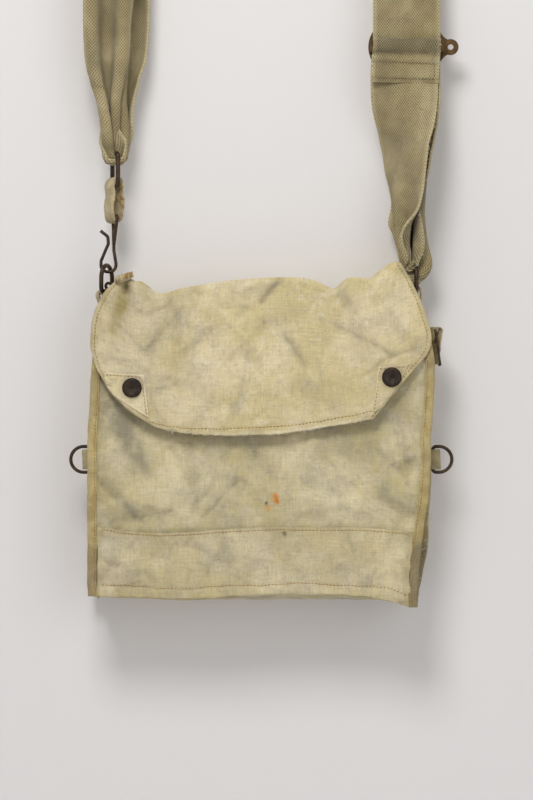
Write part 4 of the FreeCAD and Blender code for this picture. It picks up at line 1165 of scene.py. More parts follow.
def flap_base(s, v):
    """The flap's middle surface. v runs from the lower edge over the fold to the back."""
    apron = np.clip(v / APRON_SHARE, 0, 1)
    fold_x = np.linspace(-0.82, 0.82, 300) * FLAP_HALF
    full = np.linspace(0, 1, 600)
    top = at_places(s, full, even_spread(np.stack([fold_x, fold_height(fold_x)], axis=1), 600, 2))
    bottom, left, right = (
        at_places(share, full, through(flap_outline(line), 600, 2))
        for line, share in ((FLAP_BOTTOM, s), (FLAP_LEFT, apron), (FLAP_RIGHT, apron))
    )
    a = apron[:, None, None]
    c = s[None, :, None]
    corners = (1 - c) * (1 - a) * bottom[0] + c * (1 - a) * bottom[-1]
    corners = corners + (1 - c) * a * top[0] + c * a * top[-1]
    flat = (1 - a) * bottom[None] + a * top[None] + (1 - c) * left[:, None] + c * right[:, None] - corners
    x, z = flat[..., 0], flat[..., 1]
    turn = 3.6 * MM
    share = np.clip(1 - (top[None, :, 1] - z) / turn, 0, 1)
    y = face_y(z, FLAP_MIDDLE) + turn * (1 - np.sqrt(1 - np.minimum(share, 0.995) ** 2))
    behind = np.clip((v - APRON_SHARE) / (1 - APRON_SHARE), 0, 1)[:, None]
    back_z = np.minimum(top[None, :, 1], FLAP_TOP - 0.4 * MM)
    y = y * (1 - behind) + FLAP_SEAM_Y * behind
    z = z * (1 - behind) + (back_z - 1.0 * MM) * behind - 2.2 * MM * np.sin(behind * math.pi)
    x = x + (np.sign(x) * np.abs(x / (0.82 * FLAP_HALF)) ** 3 * 2 * MM) * behind
    return np.stack([x, y, z], axis=2), np.repeat(apron[:, None], len(s), axis=1), behind


def drape_flap():
    """How far the cloth simulation moves each point of a coarse flap."""
    s, v = np.linspace(0, 1, 48), np.linspace(0, 1, 30)
    coarse = flap_base(s, v)[0]
    x, z = coarse[..., 0], coarse[..., 2]
    side = np.minimum(s, 1 - s)[None, :]
    hold = np.maximum(smooth((v - 0.7) / 0.08)[:, None], 0.35 * np.clip(1 - side / 0.03, 0, 1))
    hold = np.maximum(hold, 0.3 * np.clip(1 - v / 0.05, 0, 1)[:, None])
    hold = np.maximum(hold, 1 - smooth((near_snap(x, z) - 11 * MM) / (5 * MM)))
    coarse[..., 1] += 0.4 * MM * noise(x, z, 14 * MM, 24)
    return capped(drape(coarse, hold, 0.016), 3.0 * MM)


def wrinkle_flap(grid, s, apron, behind, side, lower):
    """Adds creases, hems, a belly and flat places under the caps to the flap's middle surface."""
    x, z = grid[..., 0].copy(), grid[..., 2].copy()
    soft = 0.8 * MM * rough_noise(x, z, 30 * MM, 141) + 0.34 * MM * rough_noise(x, z, 8 * MM, 144)
    soft = soft - 2.8 * MM * (crumple(x, z, 29 * MM, 145) - 0.45)
    crease = marks_at(x, z, FLAP_CREASES) * 1.4 * MM
    pinch = 0.45 * MM * (bell(side - 2.8 * MM, 1.3 * MM) + bell(lower - HEM_ROW, 1.4 * MM))
    hem = 0.35 * MM * (1 - smooth((lower - 6 * MM) / (3 * MM)))
    hem = hem + 0.55 * MM * noise(x, z * 0.3, 3.6 * MM, 146) * bell(lower - 5 * MM, 4 * MM)
    soft = soft + 0.45 * MM * noise(x * 0.3, z, 4.5 * MM, 148) * bell(side - 4 * MM, 4 * MM)
    belly = 2.6 * MM * np.sin(s * math.pi)[None, :] ** 0.7 * bell(lower - 36 * MM, 46 * MM)
    curl = 3.6 * MM * (1 - smooth(side / (13 * MM))) * smooth((z - 172 * MM) / (20 * MM))
    edge = smooth(side / (8 * MM)) * 0.7 + 0.3
    facing = 1 - smooth((apron - 0.93) / 0.07)
    y = grid[..., 1] - ((soft + crease + belly) * edge + hem - pinch - curl) * facing
    flat = 1 - smooth((near_snap(x, z) - 10.5 * MM) / (7 * MM))
    y = y * (1 - flat) + face_y(z, FLAP_MIDDLE) * flat
    grid[..., 1] = np.where(apron < 0.9, np.minimum(y, face_y(z, 3.4 * MM)), y)
    grid[..., 2] += (0.5 * soft + 0.4 * crease) * behind * (1 - behind) * 2
    return x, z


def flap_tones(x, z, side, lower):
    """Grey smears, painted olive and near-black shade in the folds below the rolled shoulder, and a rubbed
    lower hem.
    """
    broken = 0.75 + 0.25 * rough_noise(x, z, 8 * MM, 147)
    smear_and_shade = marks_at(x, z, FLAP_SMEARS_AND_SHADE) * broken + 0.2 * smooth(-(x + 30 * MM) / (60 * MM))
    smear_and_shade = np.clip(smear_and_shade + crease_dirt_and_shade(x, z, FLAP_CREASES[FOLD_CREASES:]), 0, 0.75)
    edge_dirt = 0.3 * bell(side, 2.6 * MM) * (0.6 + 0.4 * noise(x, z, 9 * MM, 149))
    # Olive: painted shade below the rolled shoulder, and darker along the hem and sides
    olive = marks_at(x, z, FLAP_OLIVE_SHADE) + 0.32 * bell(lower - 3 * MM, 5 * MM) + 0.3 * bell(side, 4 * MM)
    return {
        "smear_and_shade": np.clip(smear_and_shade + edge_dirt, 0, 0.8),
        "rub": 0.55 * bell(lower, 3 * MM) * np.clip(noise(x, z, 11 * MM, 151) + 0.2, 0, 1),
        "rust": np.zeros_like(x),
        # Painted near-black shade in the deep crease under the shoulder
        "soot_and_shade": marks_at(x, z, FLAP_CREASE_SHADE),
        "olive": np.clip(olive, 0, 0.85),
    }


def sew_flap(flap, v):
    """Stitches along the flap's sides and lower hem, and loose yarns below the hem."""
    seams = Threads()
    up = np.linspace(0.012, APRON_SHARE - 0.012, 500)
    widths = np.linalg.norm(np.diff(flap.grid, axis=1), axis=2).sum(1)
    inset = 2.9 * MM / np.interp(up, v, widths)
    stitch_on(seams, flap, inset, up)
    stitch_on(seams, flap, 1 - inset, up)
    stitch_on(seams, flap, np.linspace(0.02, 0.98, 600), HEM_ROW / FLAP_DROP * APRON_SHARE)
    bend_flap(seams.build("flap_stitches", SEAM_THREAD, "canvas_flap"))
    frays = Threads()
    random = np.random.RandomState(153)
    for _ in range(70):
        spot = flap.place(np.array(random.uniform(0.03, 0.97)), np.array(0.0))[0]
        add_fray(frays, random, spot, (random.uniform(-0.6, 0.6), -0.5, -1), 2.6 * MM)
    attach(frays.build("flap_hem_frays", PALE_FRAY, "canvas_flap"), "flap_apron")


def make_flap():
    """The flap in one cloth, from its lower hem over the fold to the back seam."""
    rows, columns = 112, 176
    shift = drape_flap()
    s, v = np.linspace(0, 1, columns), np.linspace(0, 1, rows)
    grid, apron, behind = flap_base(s, v)
    pattern = np.stack([grid[..., 0], np.repeat(v[:, None], columns, 1) * PATTERN_DROP + FLAP_FOOT], axis=2)
    grid = grid + refine(shift, rows, columns)
    side = np.minimum(s, 1 - s)[None, :] * 2 * FLAP_HALF
    lower = apron * FLAP_DROP
    x, z = wrinkle_flap(grid, s, apron, behind, side, lower)
    flap = Cloth(grid, pattern, CANVAS)
    piece = flap.build("flap_cloth", FLAP_CANVAS, "canvas_flap", flap_tones(x, z, side, lower))
    bend_flap(piece)
    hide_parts("flap_top", "flap_apron", "flap_hem")
    sew_flap(flap, v)
    return flap


EAR_START = np.array([-112.2, -15.0, 246.6]) * MM
EAR_RUN = np.array([-101.0, -16.2, 249.6]) * MM - EAR_START
EAR_ROW = 12 * MM
EAR_TURN = 26 * MM


def make_flap_ear():
    """The flap's left shoulder ends in a small worn roll of cloth."""
    along, turn = np.meshgrid(np.linspace(0, 1, 22), np.linspace(0, 1, 46))
    angle = 1.0 - turn * 2 * math.pi * 1.7
    taper = 0.45 + 0.55 * np.sqrt(np.clip(np.sin(np.clip(along * 1.5 + 0.1, 0, 1.35)), 0, 1))
    radius = (3.3 - 1.1 * turn - 0.6 * along) * taper * (1 + 0.3 * noise(along * 11, turn * 9, 2.2, 155)) * MM
    centre = EAR_START + EAR_RUN * along[..., None]
    wander = 0.4 * MM * noise(turn * 7, along, 1, 156)
    lift = np.stack([wander, radius * np.cos(angle), radius * np.sin(angle)], axis=2)
    pattern = np.stack([along * EAR_ROW + 0.2, turn * EAR_TURN], axis=2)
    tones = plain_tones(along * EAR_ROW, turn * EAR_TURN, 157, 0.35)
    # Painted near-black shade on the roll's inner turns, where it is hollow
    tones["soot_and_shade"] = 0.75 * smooth((turn - 0.55) / 0.2)
    roll = Cloth(centre + lift, pattern, LIGHT_CANVAS)
    bend_flap(roll.build("flap_ear_roll", FLAP_CANVAS, "canvas_flap", tones))


def make_ear_threads():
    """Ochre thread wound round the roll's end, and loose yarns along it."""
    threads = Threads()
    random = np.random.RandomState(158)
    for share in np.linspace(0.62, 1.12, 15):
        sweep = np.linspace(-0.4, math.pi + 0.5, 14) + random.uniform(-0.3, 0.3)
        reach = (2.9 + random.uniform(-0.25, 0.25)) * MM
        centre = EAR_START + EAR_RUN * (share + random.uniform(-0.02, 0.02))
        slant = random.uniform(-1.6, 1.6) * MM
        sideways = np.linspace(-slant, slant, 14)
        ring = np.stack([sideways, -reach * np.cos(sweep) * 0.95, reach * np.sin(sweep)], axis=1)
        threads.add(centre + ring, random.uniform(0.22, 0.34) * MM, 5)
    for _ in range(26):
        spot = EAR_START + EAR_RUN * random.uniform(0.0, 1.05)
        spot = spot + [0, -2.4 * MM, random.uniform(-2, 2.4) * MM]
        add_fray(threads, random, spot, (random.uniform(-1, 0.6), -0.3, random.uniform(-1, 0.5)), 2.6 * MM)
    bend_flap(threads.build("flap_ear_threads", OCHRE_FRAY, "canvas_flap"))


def bend_flap(piece):
    """Bakes a piece of the flap's place into its mesh."""
    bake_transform(piece)


def make_flap_patch(flap, side, corners, bow):
    """A patch under one cap, with cream stitches along its free sides."""
    rows = columns = 36
    across, up = np.meshgrid(np.linspace(0, 1, columns), np.linspace(0, 1, rows))
    low_left, low_right, top_right, top_left = (np.array(corner) * MM for corner in corners)
    s, t = across[..., None], up[..., None]
    flat = (low_left * (1 - s) + low_right * s) * (1 - t) + (top_left * (1 - s) + top_right * s) * t
    outer = across if bow[0] > 0 else 1 - across
    flat = flat + np.array(bow) * MM * (outer ** 2 * np.sin(up * math.pi))[..., None]
    grid, normal = flap.drop(flat[..., 0], flat[..., 1], 0.5 * MM)
    rim = np.minimum(np.minimum(across, 1 - across), np.minimum(up, 1 - up))
    grid = grid - normal * (0.35 * MM * bell(rim - 0.06, 0.035))[..., None]
    cloth = Cloth(grid, flat + 0.4, 1.0 * MM)
    x, z = flat[..., 0], flat[..., 1]
    tones = plain_tones(x, z, 161, 0.12)
    tones["smear_and_shade"] = np.clip(tones["smear_and_shade"] + 0.3 * bell(near_snap(x, z) - 8.5 * MM, 2.2 * MM), 0, 0.8)
    tones["rub"] = 0.22 * bell(rim, 0.03)
    node = f"flap_patch_{side}"
    dress(cloth, f"{node}_cloth", PATCH_CANVAS, "canvas_patch", tones, "flap_apron", node)
    seams = Threads()
    run = np.linspace(0.03, 0.97, 160)
    stitch_on(seams, cloth, 0.055 if bow[0] > 0 else 0.945, run)
    stitch_on(seams, cloth, run, 0.95)
    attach(seams.build(f"{node}_stitches", CREAM_THREAD, "canvas_patch"), "flap_apron")


def make_flap_root():
    """The strip that joins the flap to the back panel, lapped under the flap's rear edge."""
    columns = 140
    x = np.linspace(0.84, -0.84, columns) * FLAP_HALF
    outline = [(1.4, -17), (1.6, -8), (1.0, -1.5), (-2.5, 0.6), (-7, -0.4)]
    points = [(BACK_FACE + out * MM, BACK_TOP + up * MM) for out, up in outline]
    profile = through(points + [(FLAP_SEAM_Y - 5 * MM, BACK_TOP - 1.3 * MM)], 26, 2)
    wide, y = np.meshgrid(x, profile[:, 0])
    height = profile[:, 1][:, None]
    sag = np.minimum(fold_height(x) - FLAP_TOP, 0)
    z = height + sag[None, :] * smooth((height - BACK_TOP + 17 * MM) / (17 * MM))
    y = y + 0.35 * MM * noise(wide, y * 3, 16 * MM, 171)
    grid = np.stack([wide, y, z], axis=2)
    run = np.linspace(0, path_length(profile), len(profile))
    pattern = np.stack(np.meshgrid(x, run), axis=2)
    root = Cloth(grid, pattern, CANVAS * 0.8)
    piece = root.build("flap_root_cloth", BODY_CANVAS, "canvas_flap", plain_tones(grid[..., 0], z, 173))
    seams = Threads()
    for share in (0.06, 0.17):
        stitch_on(seams, root, np.linspace(0.01, 0.99, 400), share)
    for part in (piece, seams.build("flap_root_stitches", SEAM_THREAD, "canvas_flap")):
        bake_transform(part)


def make_lap_seam(flap):
    """Two rows of stitches where the flap's rear edge is sewn down on its root."""
    seams = Threads()
    for inset in (0.012, 0.035):
        stitch_on(seams, flap, np.linspace(0.01, 0.99, 500), 1 - inset)
    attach(seams.build("flap_lap_stitches", SEAM_THREAD, "canvas_flap"), "flap_bridge")


FRONT_PANEL = make_bag_front()
make_back_panel()
make_bottom_panel()
make_inside()
side_seams = Threads()
for side in ("left", "right"):
    make_gusset(side)
    for place in ("front", "back"):
        make_binding(place, side, side_seams)
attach(side_seams.build("binding_stitches", SEAM_THREAD, "binding_tape"), "bag")
make_seam_frays()
FLAP = make_flap()
make_flap_ear()
make_ear_threads()
make_flap_patch(FLAP, "left", [(-109.5, 154.5), (-87, 140.6), (-90.6, 173), (-120.6, 174.6)], (-2.5, -1))
make_flap_patch(FLAP, "right", [(86.2, 145.4), (89.4, 146.6), (113, 181.6), (90.4, 179.4)], (1.4, -1.6))
make_flap_root()
make_lap_seam(FLAP)

# ---- tapes and tabs -------------------------------------------------------------------------


def ribbon(path, across, width, thickness, ruffle=0.0, seed=1, columns=11):
    """Tape that follows a path, with its width along the direction across."""
    centre = even_spread(np.asarray(path, float), max(8, int(path_length(path) / (1.1 * MM))))
    offsets = np.linspace(-0.5, 0.5, columns) * width
    across = unit(np.array(across, float))
    grid = centre[:, None, :] + offsets[None, :, None] * across
    run = np.linspace(0, path_length(centre), len(centre))
    pattern = np.stack(np.meshgrid(offsets, run), axis=2)
    cloth = Cloth(grid, pattern + seed, thickness)
    wide, long = pattern[..., 0], pattern[..., 1]
    hills = noise(wide, long, 5 * MM, seed) + 0.4 * noise(wide, long, 2 * MM, seed)
    return Cloth(grid + cloth.normal * (ruffle * hills)[..., None], pattern + seed, thickness)


def dress_tab(cloth, node, body="bag", dirt=0.35):
    """A tape that takes the place of one tab of the frame."""
    smear_and_shade = dirt + dirt * rough_noise(cloth.pattern[..., 0], cloth.pattern[..., 1], 6 * MM, 201)
    dress(cloth, f"{node}_tape", TAB_TAPE, "tab_tape", {"smear_and_shade": np.clip(smear_and_shade, 0, 0.85)}, body, node)


SIDE_TAB = [
    (-1, -2.4), (3, -2.4), (6.6, -2.52), (11, -1.8), (12, 0), (11, 1.8), (6.6, 2.52), (3, 2.4), (-1, 2.4),
]


def make_side_tab(side, threads):
    """A folded tape sewn to the gusset. It wraps the side ring's upright bar."""
    sign = 1 if side == "right" else -1
    wall = low("side_tab_right")[0] + 0.3 * MM
    _, y, z = middle("side_tab_right")
    flat = through([(wall + out * MM, y + back * MM) for out, back in SIDE_TAB], 60, 2)
    path = np.stack([sign * flat[:, 0], flat[:, 1], np.full(60, z)], axis=1)
    tape = ribbon(path, (0, 0, -sign), 14.4 * MM, 1.2 * MM, 0.3 * MM, 211 + sign)
    dress_tab(tape, f"side_tab_{side}")
    stitch_on(threads, tape, np.linspace(0.08, 0.92, 30), 0.13)


# In mm: the wall's inset, the drop to the ring's bar, the bar's place from the wall, the roll's radius
# round the bar and the tape's thickness
CORNER_TABS = {"right": (0.9, 4.2, -2.9, 3.5, 1.5), "left": (2.4, 7.2, 2.6, 2.3, 3.4)}


def make_corner_tab(side):
    """A folded tape that comes up inside the gusset, rolls over the corner ring's bar and goes back."""
    sign = 1 if side == "right" else -1
    inset, drop, offset, roll, thickness = (size * MM for size in CORNER_TABS[side])
    foot = low("corner_tab_right")[2]
    wall = high("corner_tab_right")[0] - inset
    ring_x = wall + offset
    ring_z = high("corner_tab_right")[2] - drop
    points = [
        (wall - 0.2 * MM, foot + 1 * MM),
        (wall, ring_z - 14 * MM),
        (ring_x + roll, ring_z - 2 * MM),
        (ring_x + roll * 0.75, ring_z + roll * 0.75),
        (ring_x, ring_z + roll),
        (ring_x - roll * 0.75, ring_z + roll * 0.75),
        (ring_x - roll, ring_z - 1.5 * MM),
        (wall - 2.3 * MM, ring_z - 11 * MM),
        (wall - 2 * MM, foot + 2 * MM),
    ]
    flat = through(points, 90, 2)
    path = np.stack([sign * flat[:, 0], np.full(90, middle("corner_tab_right")[1]), flat[:, 1]], axis=1)
    tape = ribbon(path, (0, sign, 0), 7.6 * MM, thickness, 0.35 * MM, 221 + sign)
    dress_tab(tape, f"corner_tab_{side}")


def make_keeper_tab():
    """The folded tape that carries the wire keeper on the right gusset."""
    foot = low("keeper_tab")[2]
    wall = low("keeper_tab")[0] + 0.7 * MM
    y = middle("keeper_tab")[1]
    ring_x = high("keeper_tab")[0] - 4.4 * MM
    ring_z = high("keeper_tab")[2] - 2.6 * MM
    roll = 1.9 * MM
    points = [
        (wall, foot),
        (wall + 0.2 * MM, ring_z - 9 * MM),
        (ring_x - roll, ring_z - 1 * MM),
        (ring_x - roll * 0.7, ring_z + roll * 0.8),
        (ring_x, ring_z + roll * 1.1),
        (ring_x + roll * 0.9, ring_z + roll * 0.5),
        (ring_x + roll, ring_z - 1 * MM),
        (ring_x + roll * 0.4, ring_z - 9 * MM),
        (wall + 6 * MM, ring_z - 17 * MM),
        (wall + 4.8 * MM, foot - 8 * MM),
    ]
    flat = through(points, 90, 2)
    path = np.stack([flat[:, 0] + 1.2 * MM, np.full(90, y - 2 * MM), flat[:, 1]], axis=1)
    tape = ribbon(path, (0.62, -0.78, 0), 13 * MM, 1.1 * MM, 0.5 * MM, 231)
    dress_tab(tape, "keeper_tab", dirt=0.5)
    frays = Threads()
    random = np.random.RandomState(233)
    for _ in range(26):
        x = ring_x + random.uniform(-3, 1.5) * MM
        spot = (x, y - 8.6 * MM, ring_z - random.uniform(-2, 20) * MM)
        add_fray(frays, random, spot, (0.6, -0.5, -0.5), 5 * MM)
    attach(frays.build("keeper_tab_frays", CREAM_THREAD, "tab_tape"), "bag")


# The hook tab's two plies in mm: across, and up from its low bend, its middle or its high bend
HOOK_TAB = [
    (0, "low", -4.6), (-3.6, "low", -3.4), (-5.2, "low", 2), (-5.4, "middle", -2), (-4.6, "middle", 4),
    (-5.0, "high", 0), (-3.4, "high", 4), (0, "high", 5), (2.6, "high", 3.6), (2.6, "high", -3),
    (2.4, "middle", 4), (3.6, "middle", -1), (3.0, "low", 3), (2.2, "low", -2.6),
]


def make_hook_tab():
    """A short frayed tape, folded through the strap ring and the hook's eye."""
    turn = math.radians(34)
    depth = np.array([-math.sin(turn), math.cos(turn), 0])
    sideways = np.array([math.cos(turn), math.sin(turn), 0])
    bends = {"low": low("hook_tab")[2] + 5.2 * MM, "high": high("hook_tab")[2] - 5.2 * MM}
    bends["middle"] = (bends["low"] + bends["high"]) / 2
    flat = through([(across * MM, bends[bend] + up * MM) for across, bend, up in HOOK_TAB], 110, 2)
    path = middle("hook_tab") * [1, 1, 0] + flat[:, :1] * sideways + flat[:, 1:] * [0, 0, 1]
    tape = ribbon(path, depth, 11 * MM, 2.4 * MM, 0.5 * MM, 241, columns=15)
    dress_tab(tape, "hook_tab", "hook_tab", 0.22)
    frays = Threads()
    random = np.random.RandomState(243)
    for _ in range(150):
        share = random.uniform(0.58, 0.98)
        side = random.choice([0.02, 0.98, random.uniform(0, 1)])
        spot = tape.place(np.array(side), np.array(share))[0]
        heading = np.array([0.7, -0.6, random.uniform(-1.2, 0.3)])
        add_fray(frays, random, spot, heading, 3.8 * MM, 0.22 * MM)
    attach(frays.build("hook_tab_frays", OCHRE_FRAY, "tab_tape"), "hook_tab")


# ---- the sling ------------------------------------------------------------------------------


def fold_shapes(waves, lean):
    """For a section that snakes in even waves: how wide it stays for each largest slope."""
    along = np.linspace(-0.5, 0.5, 60)
    slopes = np.linspace(0.02, 2.6, 90)
    heading = np.sin(math.pi * waves * along + lean)
    return slopes, np.array([np.ptp(np.cumsum(np.cos(slope * heading))) / 60 for slope in slopes])


def sling_section(ratio, waves, lean, count):
    """Webbing seen on end, gathered to a share of its width: offsets across and deep."""
    slopes, widths = fold_shapes(waves, lean)
    slope = slopes[np.argmin(np.abs(widths - ratio))] if ratio < 0.995 else 0.08
    along = np.linspace(-0.5, 0.5, count)
    angle = slope * np.sin(math.pi * waves * along + lean)
    step = 2 * WEBBING_HALF / (count - 1)
    across = np.concatenate([[0], np.cumsum(np.cos(angle[1:]) * step)])
    deep = np.concatenate([[0], np.cumsum(np.sin(angle[1:]) * step)])
    across -= (across.max() + across.min()) / 2
    deep -= (deep.max() + deep.min()) / 2
    return across, deep


def stations(x, y, z, rows):
    """Sling stations from rows (across, deep, up) in mm from a place, then the section's shape."""
    return [(x + across * MM, y + deep * MM, z + up * MM, *shape) for across, deep, up, *shape in rows]


def sling_cloth(stops, seed):
    """Webbing through stations (x, y, z, width share, turn in degrees, waves, lean)."""
    rough_length = path_length(through(stops, 30)[:, :3])
    route = through(stops, max(int(rough_length / (2.4 * MM)), 20))
    along = unit(np.gradient(route[:, :3], axis=0))
    columns = 41
    grid = np.zeros((len(route), columns, 3))
    for row, (_, _, _, ratio, turn, waves, lean) in enumerate(route):
        angle = math.radians(turn)
        across = np.array([math.cos(angle), math.sin(angle), 0])
        across = unit(across - along[row] * (across @ along[row]))
        facing = np.cross(across, along[row])
        wide, deep = sling_section(ratio, waves, lean, columns)
        grid[row] = route[row, :3] + wide[:, None] * across + deep[:, None] * facing
    length = travelled(route)
    pattern = np.stack(np.meshgrid(np.linspace(-WEBBING_HALF, WEBBING_HALF, columns), length), axis=2)
    cloth = Cloth(grid, pattern, WEBBING)
    hills = 0.5 * MM * noise(pattern[..., 0], pattern[..., 1], 26 * MM, seed)
    hills = hills + 0.15 * MM * noise(pattern[..., 0], pattern[..., 1], 8 * MM, seed + 1)
    slider_travel = smooth((route[:, 2] - SLIDER_LOWEST) / (20 * MM)) * (route[:, 0] > 0)
    hills = hills * (1 - 0.85 * slider_travel)[:, None]
    ends = smooth(length / (8 * MM)) * smooth((length[-1] - length) / (8 * MM))
    return Cloth(grid + cloth.normal * (hills * ends[:, None])[..., None], pattern, WEBBING), route


def sling_tones(cloth, seed):
    """Selvages are paler, and the rest is dirty in patches."""
    across, along = cloth.pattern[..., 0], cloth.pattern[..., 1]
    edge = bell(np.abs(across) - WEBBING_HALF + 0.8 * MM, 1.3 * MM)
    patches = rough_noise(across, along, 18 * MM, seed)
    smear_and_shade = np.clip(0.18 + 0.25 * patches, 0, 0.6) * (1 - edge)
    rub = np.clip(0.55 * edge + 0.22 * np.clip(patches, -1, 0) ** 2, 0, 0.7)
    return {"smear_and_shade": smear_and_shade, "rub": rub, "soot_and_shade": np.zeros_like(smear_and_shade)}


SLIDER_LOWEST = 375 * MM
RIGHT_RING_X = middle("corner_ring_right")[0]
RIGHT_RING_TOP = high("corner_ring_right")[2]
LEFT_RING_TOP = high("strap_ring_left")[2]
# Rows of (across, deep, up, width share, turn in degrees, waves, lean). The bends' heights are in mm
# from the top of their ring, the others in mm in the frame. The long length and the front leg meet
# under the right ring's bow.
SEWN_PLY = [
    (6.1, 6.4, 520, 0.78, 6, 2.6, 0.5),
    (6.1, 6.4, 462, 0.76, 6, 2.6, 0.5),
    (5.8, 6, 423, 0.70, 8, 2.8, 0.5),
    (5.2, 5, 404, 0.50, 10, 3.0, 0.5),
    (4.8, 3.6, 385, 0.33, 20, 3.2, 0.5),
    (5.4, 1.6, 364, 0.25, 55, 3.4, 0.4),
]
LEFT_BEND = [
    (5.0, 0, 2, 0.23, 84, 4.6, 0.3),
    (4.2, 0, -4.8, 0.24, 90, 5.0, 0.3),
    (0, 0, -5.2, 0.24, 90, 5.0, 0.3),
    (-4.4, 0, -5.0, 0.24, 90, 5.0, 0.3),
    (-5.2, 0, 2, 0.23, 84, 4.6, 0.3),
]
LEFT_RUN = [
    (-5, -1.6, 364, 0.27, 44, 3.4, 0.2),
    (-5.2, -3, 385, 0.32, 12, 3.2, 0.1),
    (-5.8, -4, 404, 0.50, 3, 3.0, 0.1),
    (-5.9, -4.4, 423, 0.64, 0, 2.8, 0.1),
    (-5, -4, 462, 0.72, 0, 2.6, 0.1),
]
RIGHT_RUN = [
    (0, 0, 515, 1.0, -178, 2.0, 0.1),
    (0, 0, 445, 1.0, -180, 1.6, 0.1),
    (0, 1.5, 408, 1.0, -186, 1.2, 0.1),
    (2.5, 3, 370, 0.97, -211, 1.0, 0.1),
    (5.4, 1, 330, 0.92, -238, 1.0, 0.1),
    (7, 0, 298, 0.78, -252, 2.6, 0.1),
]
RIGHT_GATHER = [(2.6, 0, 276, 0.5, -265, 3.4, 0.1)]
RIGHT_BEND = [
    (4.6, 0, 1, 0.3, -268, 2.8, 0.2),
    (3.2, 0, -4.6, 0.3, -270, 2.8, 0.2),
    (0, 0, -6.2, 0.3, -270, 2.4, 0.2),
]
LEG_BEND = [
    (0, 0, -7.4, 0.3, -270, 2.4, 0.2),
    (-4.4, 0, -7.6, 0.3, -268, 2.2, 0.2),
    (-8.4, -1, 2, 0.40, -269, 5.4, 0.2),
]
LEG_TWIST = [
    (-10.2, -2, 276, 0.54, -266, 4.8, 0.1),
    (-11.2, -3, 287, 0.70, -257, 4.0, 0.0),
    (-12.4, -4, 300, 0.84, -246, 2.6, -0.1),
    (-10.4, -5, 325, 0.95, -237, 1.6, -0.2),
    (-9.4, -5.4, 349, 0.98, -228, 1.1, -0.2),
    (-8.6, -5, 368, 0.99, -213, 1.0, -0.2),
]
FLAT_SECTION = (1.0, -180, 1.0, 0.0)


def sling_route():
    """From the sewn end over the left ring, up the left run, over the shoulder and down the right run."""
    y = STRAP_Y
    left = stations(CHAIN_X, y, 0, SEWN_PLY)
    left += stations(CHAIN_X, y, LEFT_RING_TOP, LEFT_BEND)
    left += stations(CHAIN_X, y, 0, LEFT_RUN) + [(-STRAP_X, y, 525 * MM, 0.97, 0, 3.0, 0.1)]
    arch = []
    for step in range(0, 13):
        angle = math.pi * (1 - step / 12)
        turn = -180 * smooth((step + 1.5) / 15)
        arch.append((STRAP_X * math.cos(angle), y, ARCH_Z + STRAP_X * math.sin(angle), 1.0, turn, 3.0, 0.1))
    right = stations(STRAP_X, y, 0, RIGHT_RUN)
    right += stations(RIGHT_RING_X, y, 0, RIGHT_GATHER)
    right += stations(RIGHT_RING_X, y, RIGHT_RING_TOP, RIGHT_BEND)
    return left + arch + right


def front_leg_route():
    """From the right ring up the front, behind the buckle's bar, over it and down to the sewn end."""
    bar_z = middle("slider_bar")[2]
    bar_front = low("slider_bar")[1]
    reach = (high("slider_bar")[2] - low("slider_bar")[2]) / 2
    front = bar_front - WEBBING / 2 - 0.3 * MM
    rear = bar_front + 2.2 * MM + WEBBING / 2 + 0.3 * MM
    leg = (front + rear) / 2 + 0.6 * MM
    end = leg - WEBBING
    rise = stations(RIGHT_RING_X, STRAP_Y, RIGHT_RING_TOP, LEG_BEND)
    rise += stations(RIGHT_RING_X, STRAP_Y, 0, LEG_TWIST)
    return rise + [
        (STRAP_X - 2 * MM, leg, 388 * MM, 0.99, -193, 1.0, 0.0),
        (STRAP_X - 2 * MM, leg, bar_z - 26 * MM, 1.0, -184, 1.0, 0.0),
        (STRAP_X - 1.6 * MM, leg, bar_z - 14 * MM, *FLAT_SECTION),
        (STRAP_X, rear, bar_z - reach, *FLAT_SECTION),
        (STRAP_X, rear, bar_z + reach * 0.6, *FLAT_SECTION),
        (STRAP_X, (front + rear) / 2, bar_z + reach + WEBBING / 2 + 0.5 * MM, *FLAT_SECTION),
        (STRAP_X, front - 0.4 * MM, bar_z + reach * 0.7, *FLAT_SECTION),
        (STRAP_X, front - 0.9 * MM, bar_z, *FLAT_SECTION),
        (STRAP_X - 0.3 * MM, front - 0.4 * MM, bar_z - reach * 0.9, *FLAT_SECTION),
        (STRAP_X - 0.6 * MM, front + 1.6 * MM, bar_z - reach - 2.4 * MM, *FLAT_SECTION),
        (STRAP_X - 1.2 * MM, end - 0.3 * MM, bar_z - 12 * MM, *FLAT_SECTION),
        (STRAP_X - 1.6 * MM, end - 0.2 * MM, bar_z - 27.8 * MM, *FLAT_SECTION),
    ]


# Where the painted shade in the gap behind the front leg's edge lies on the right run: heights and places
# across, in mm
GAP_SHADE_LINE = [(270, 115), (290, 120), (325, 125.5), (365, 131)]


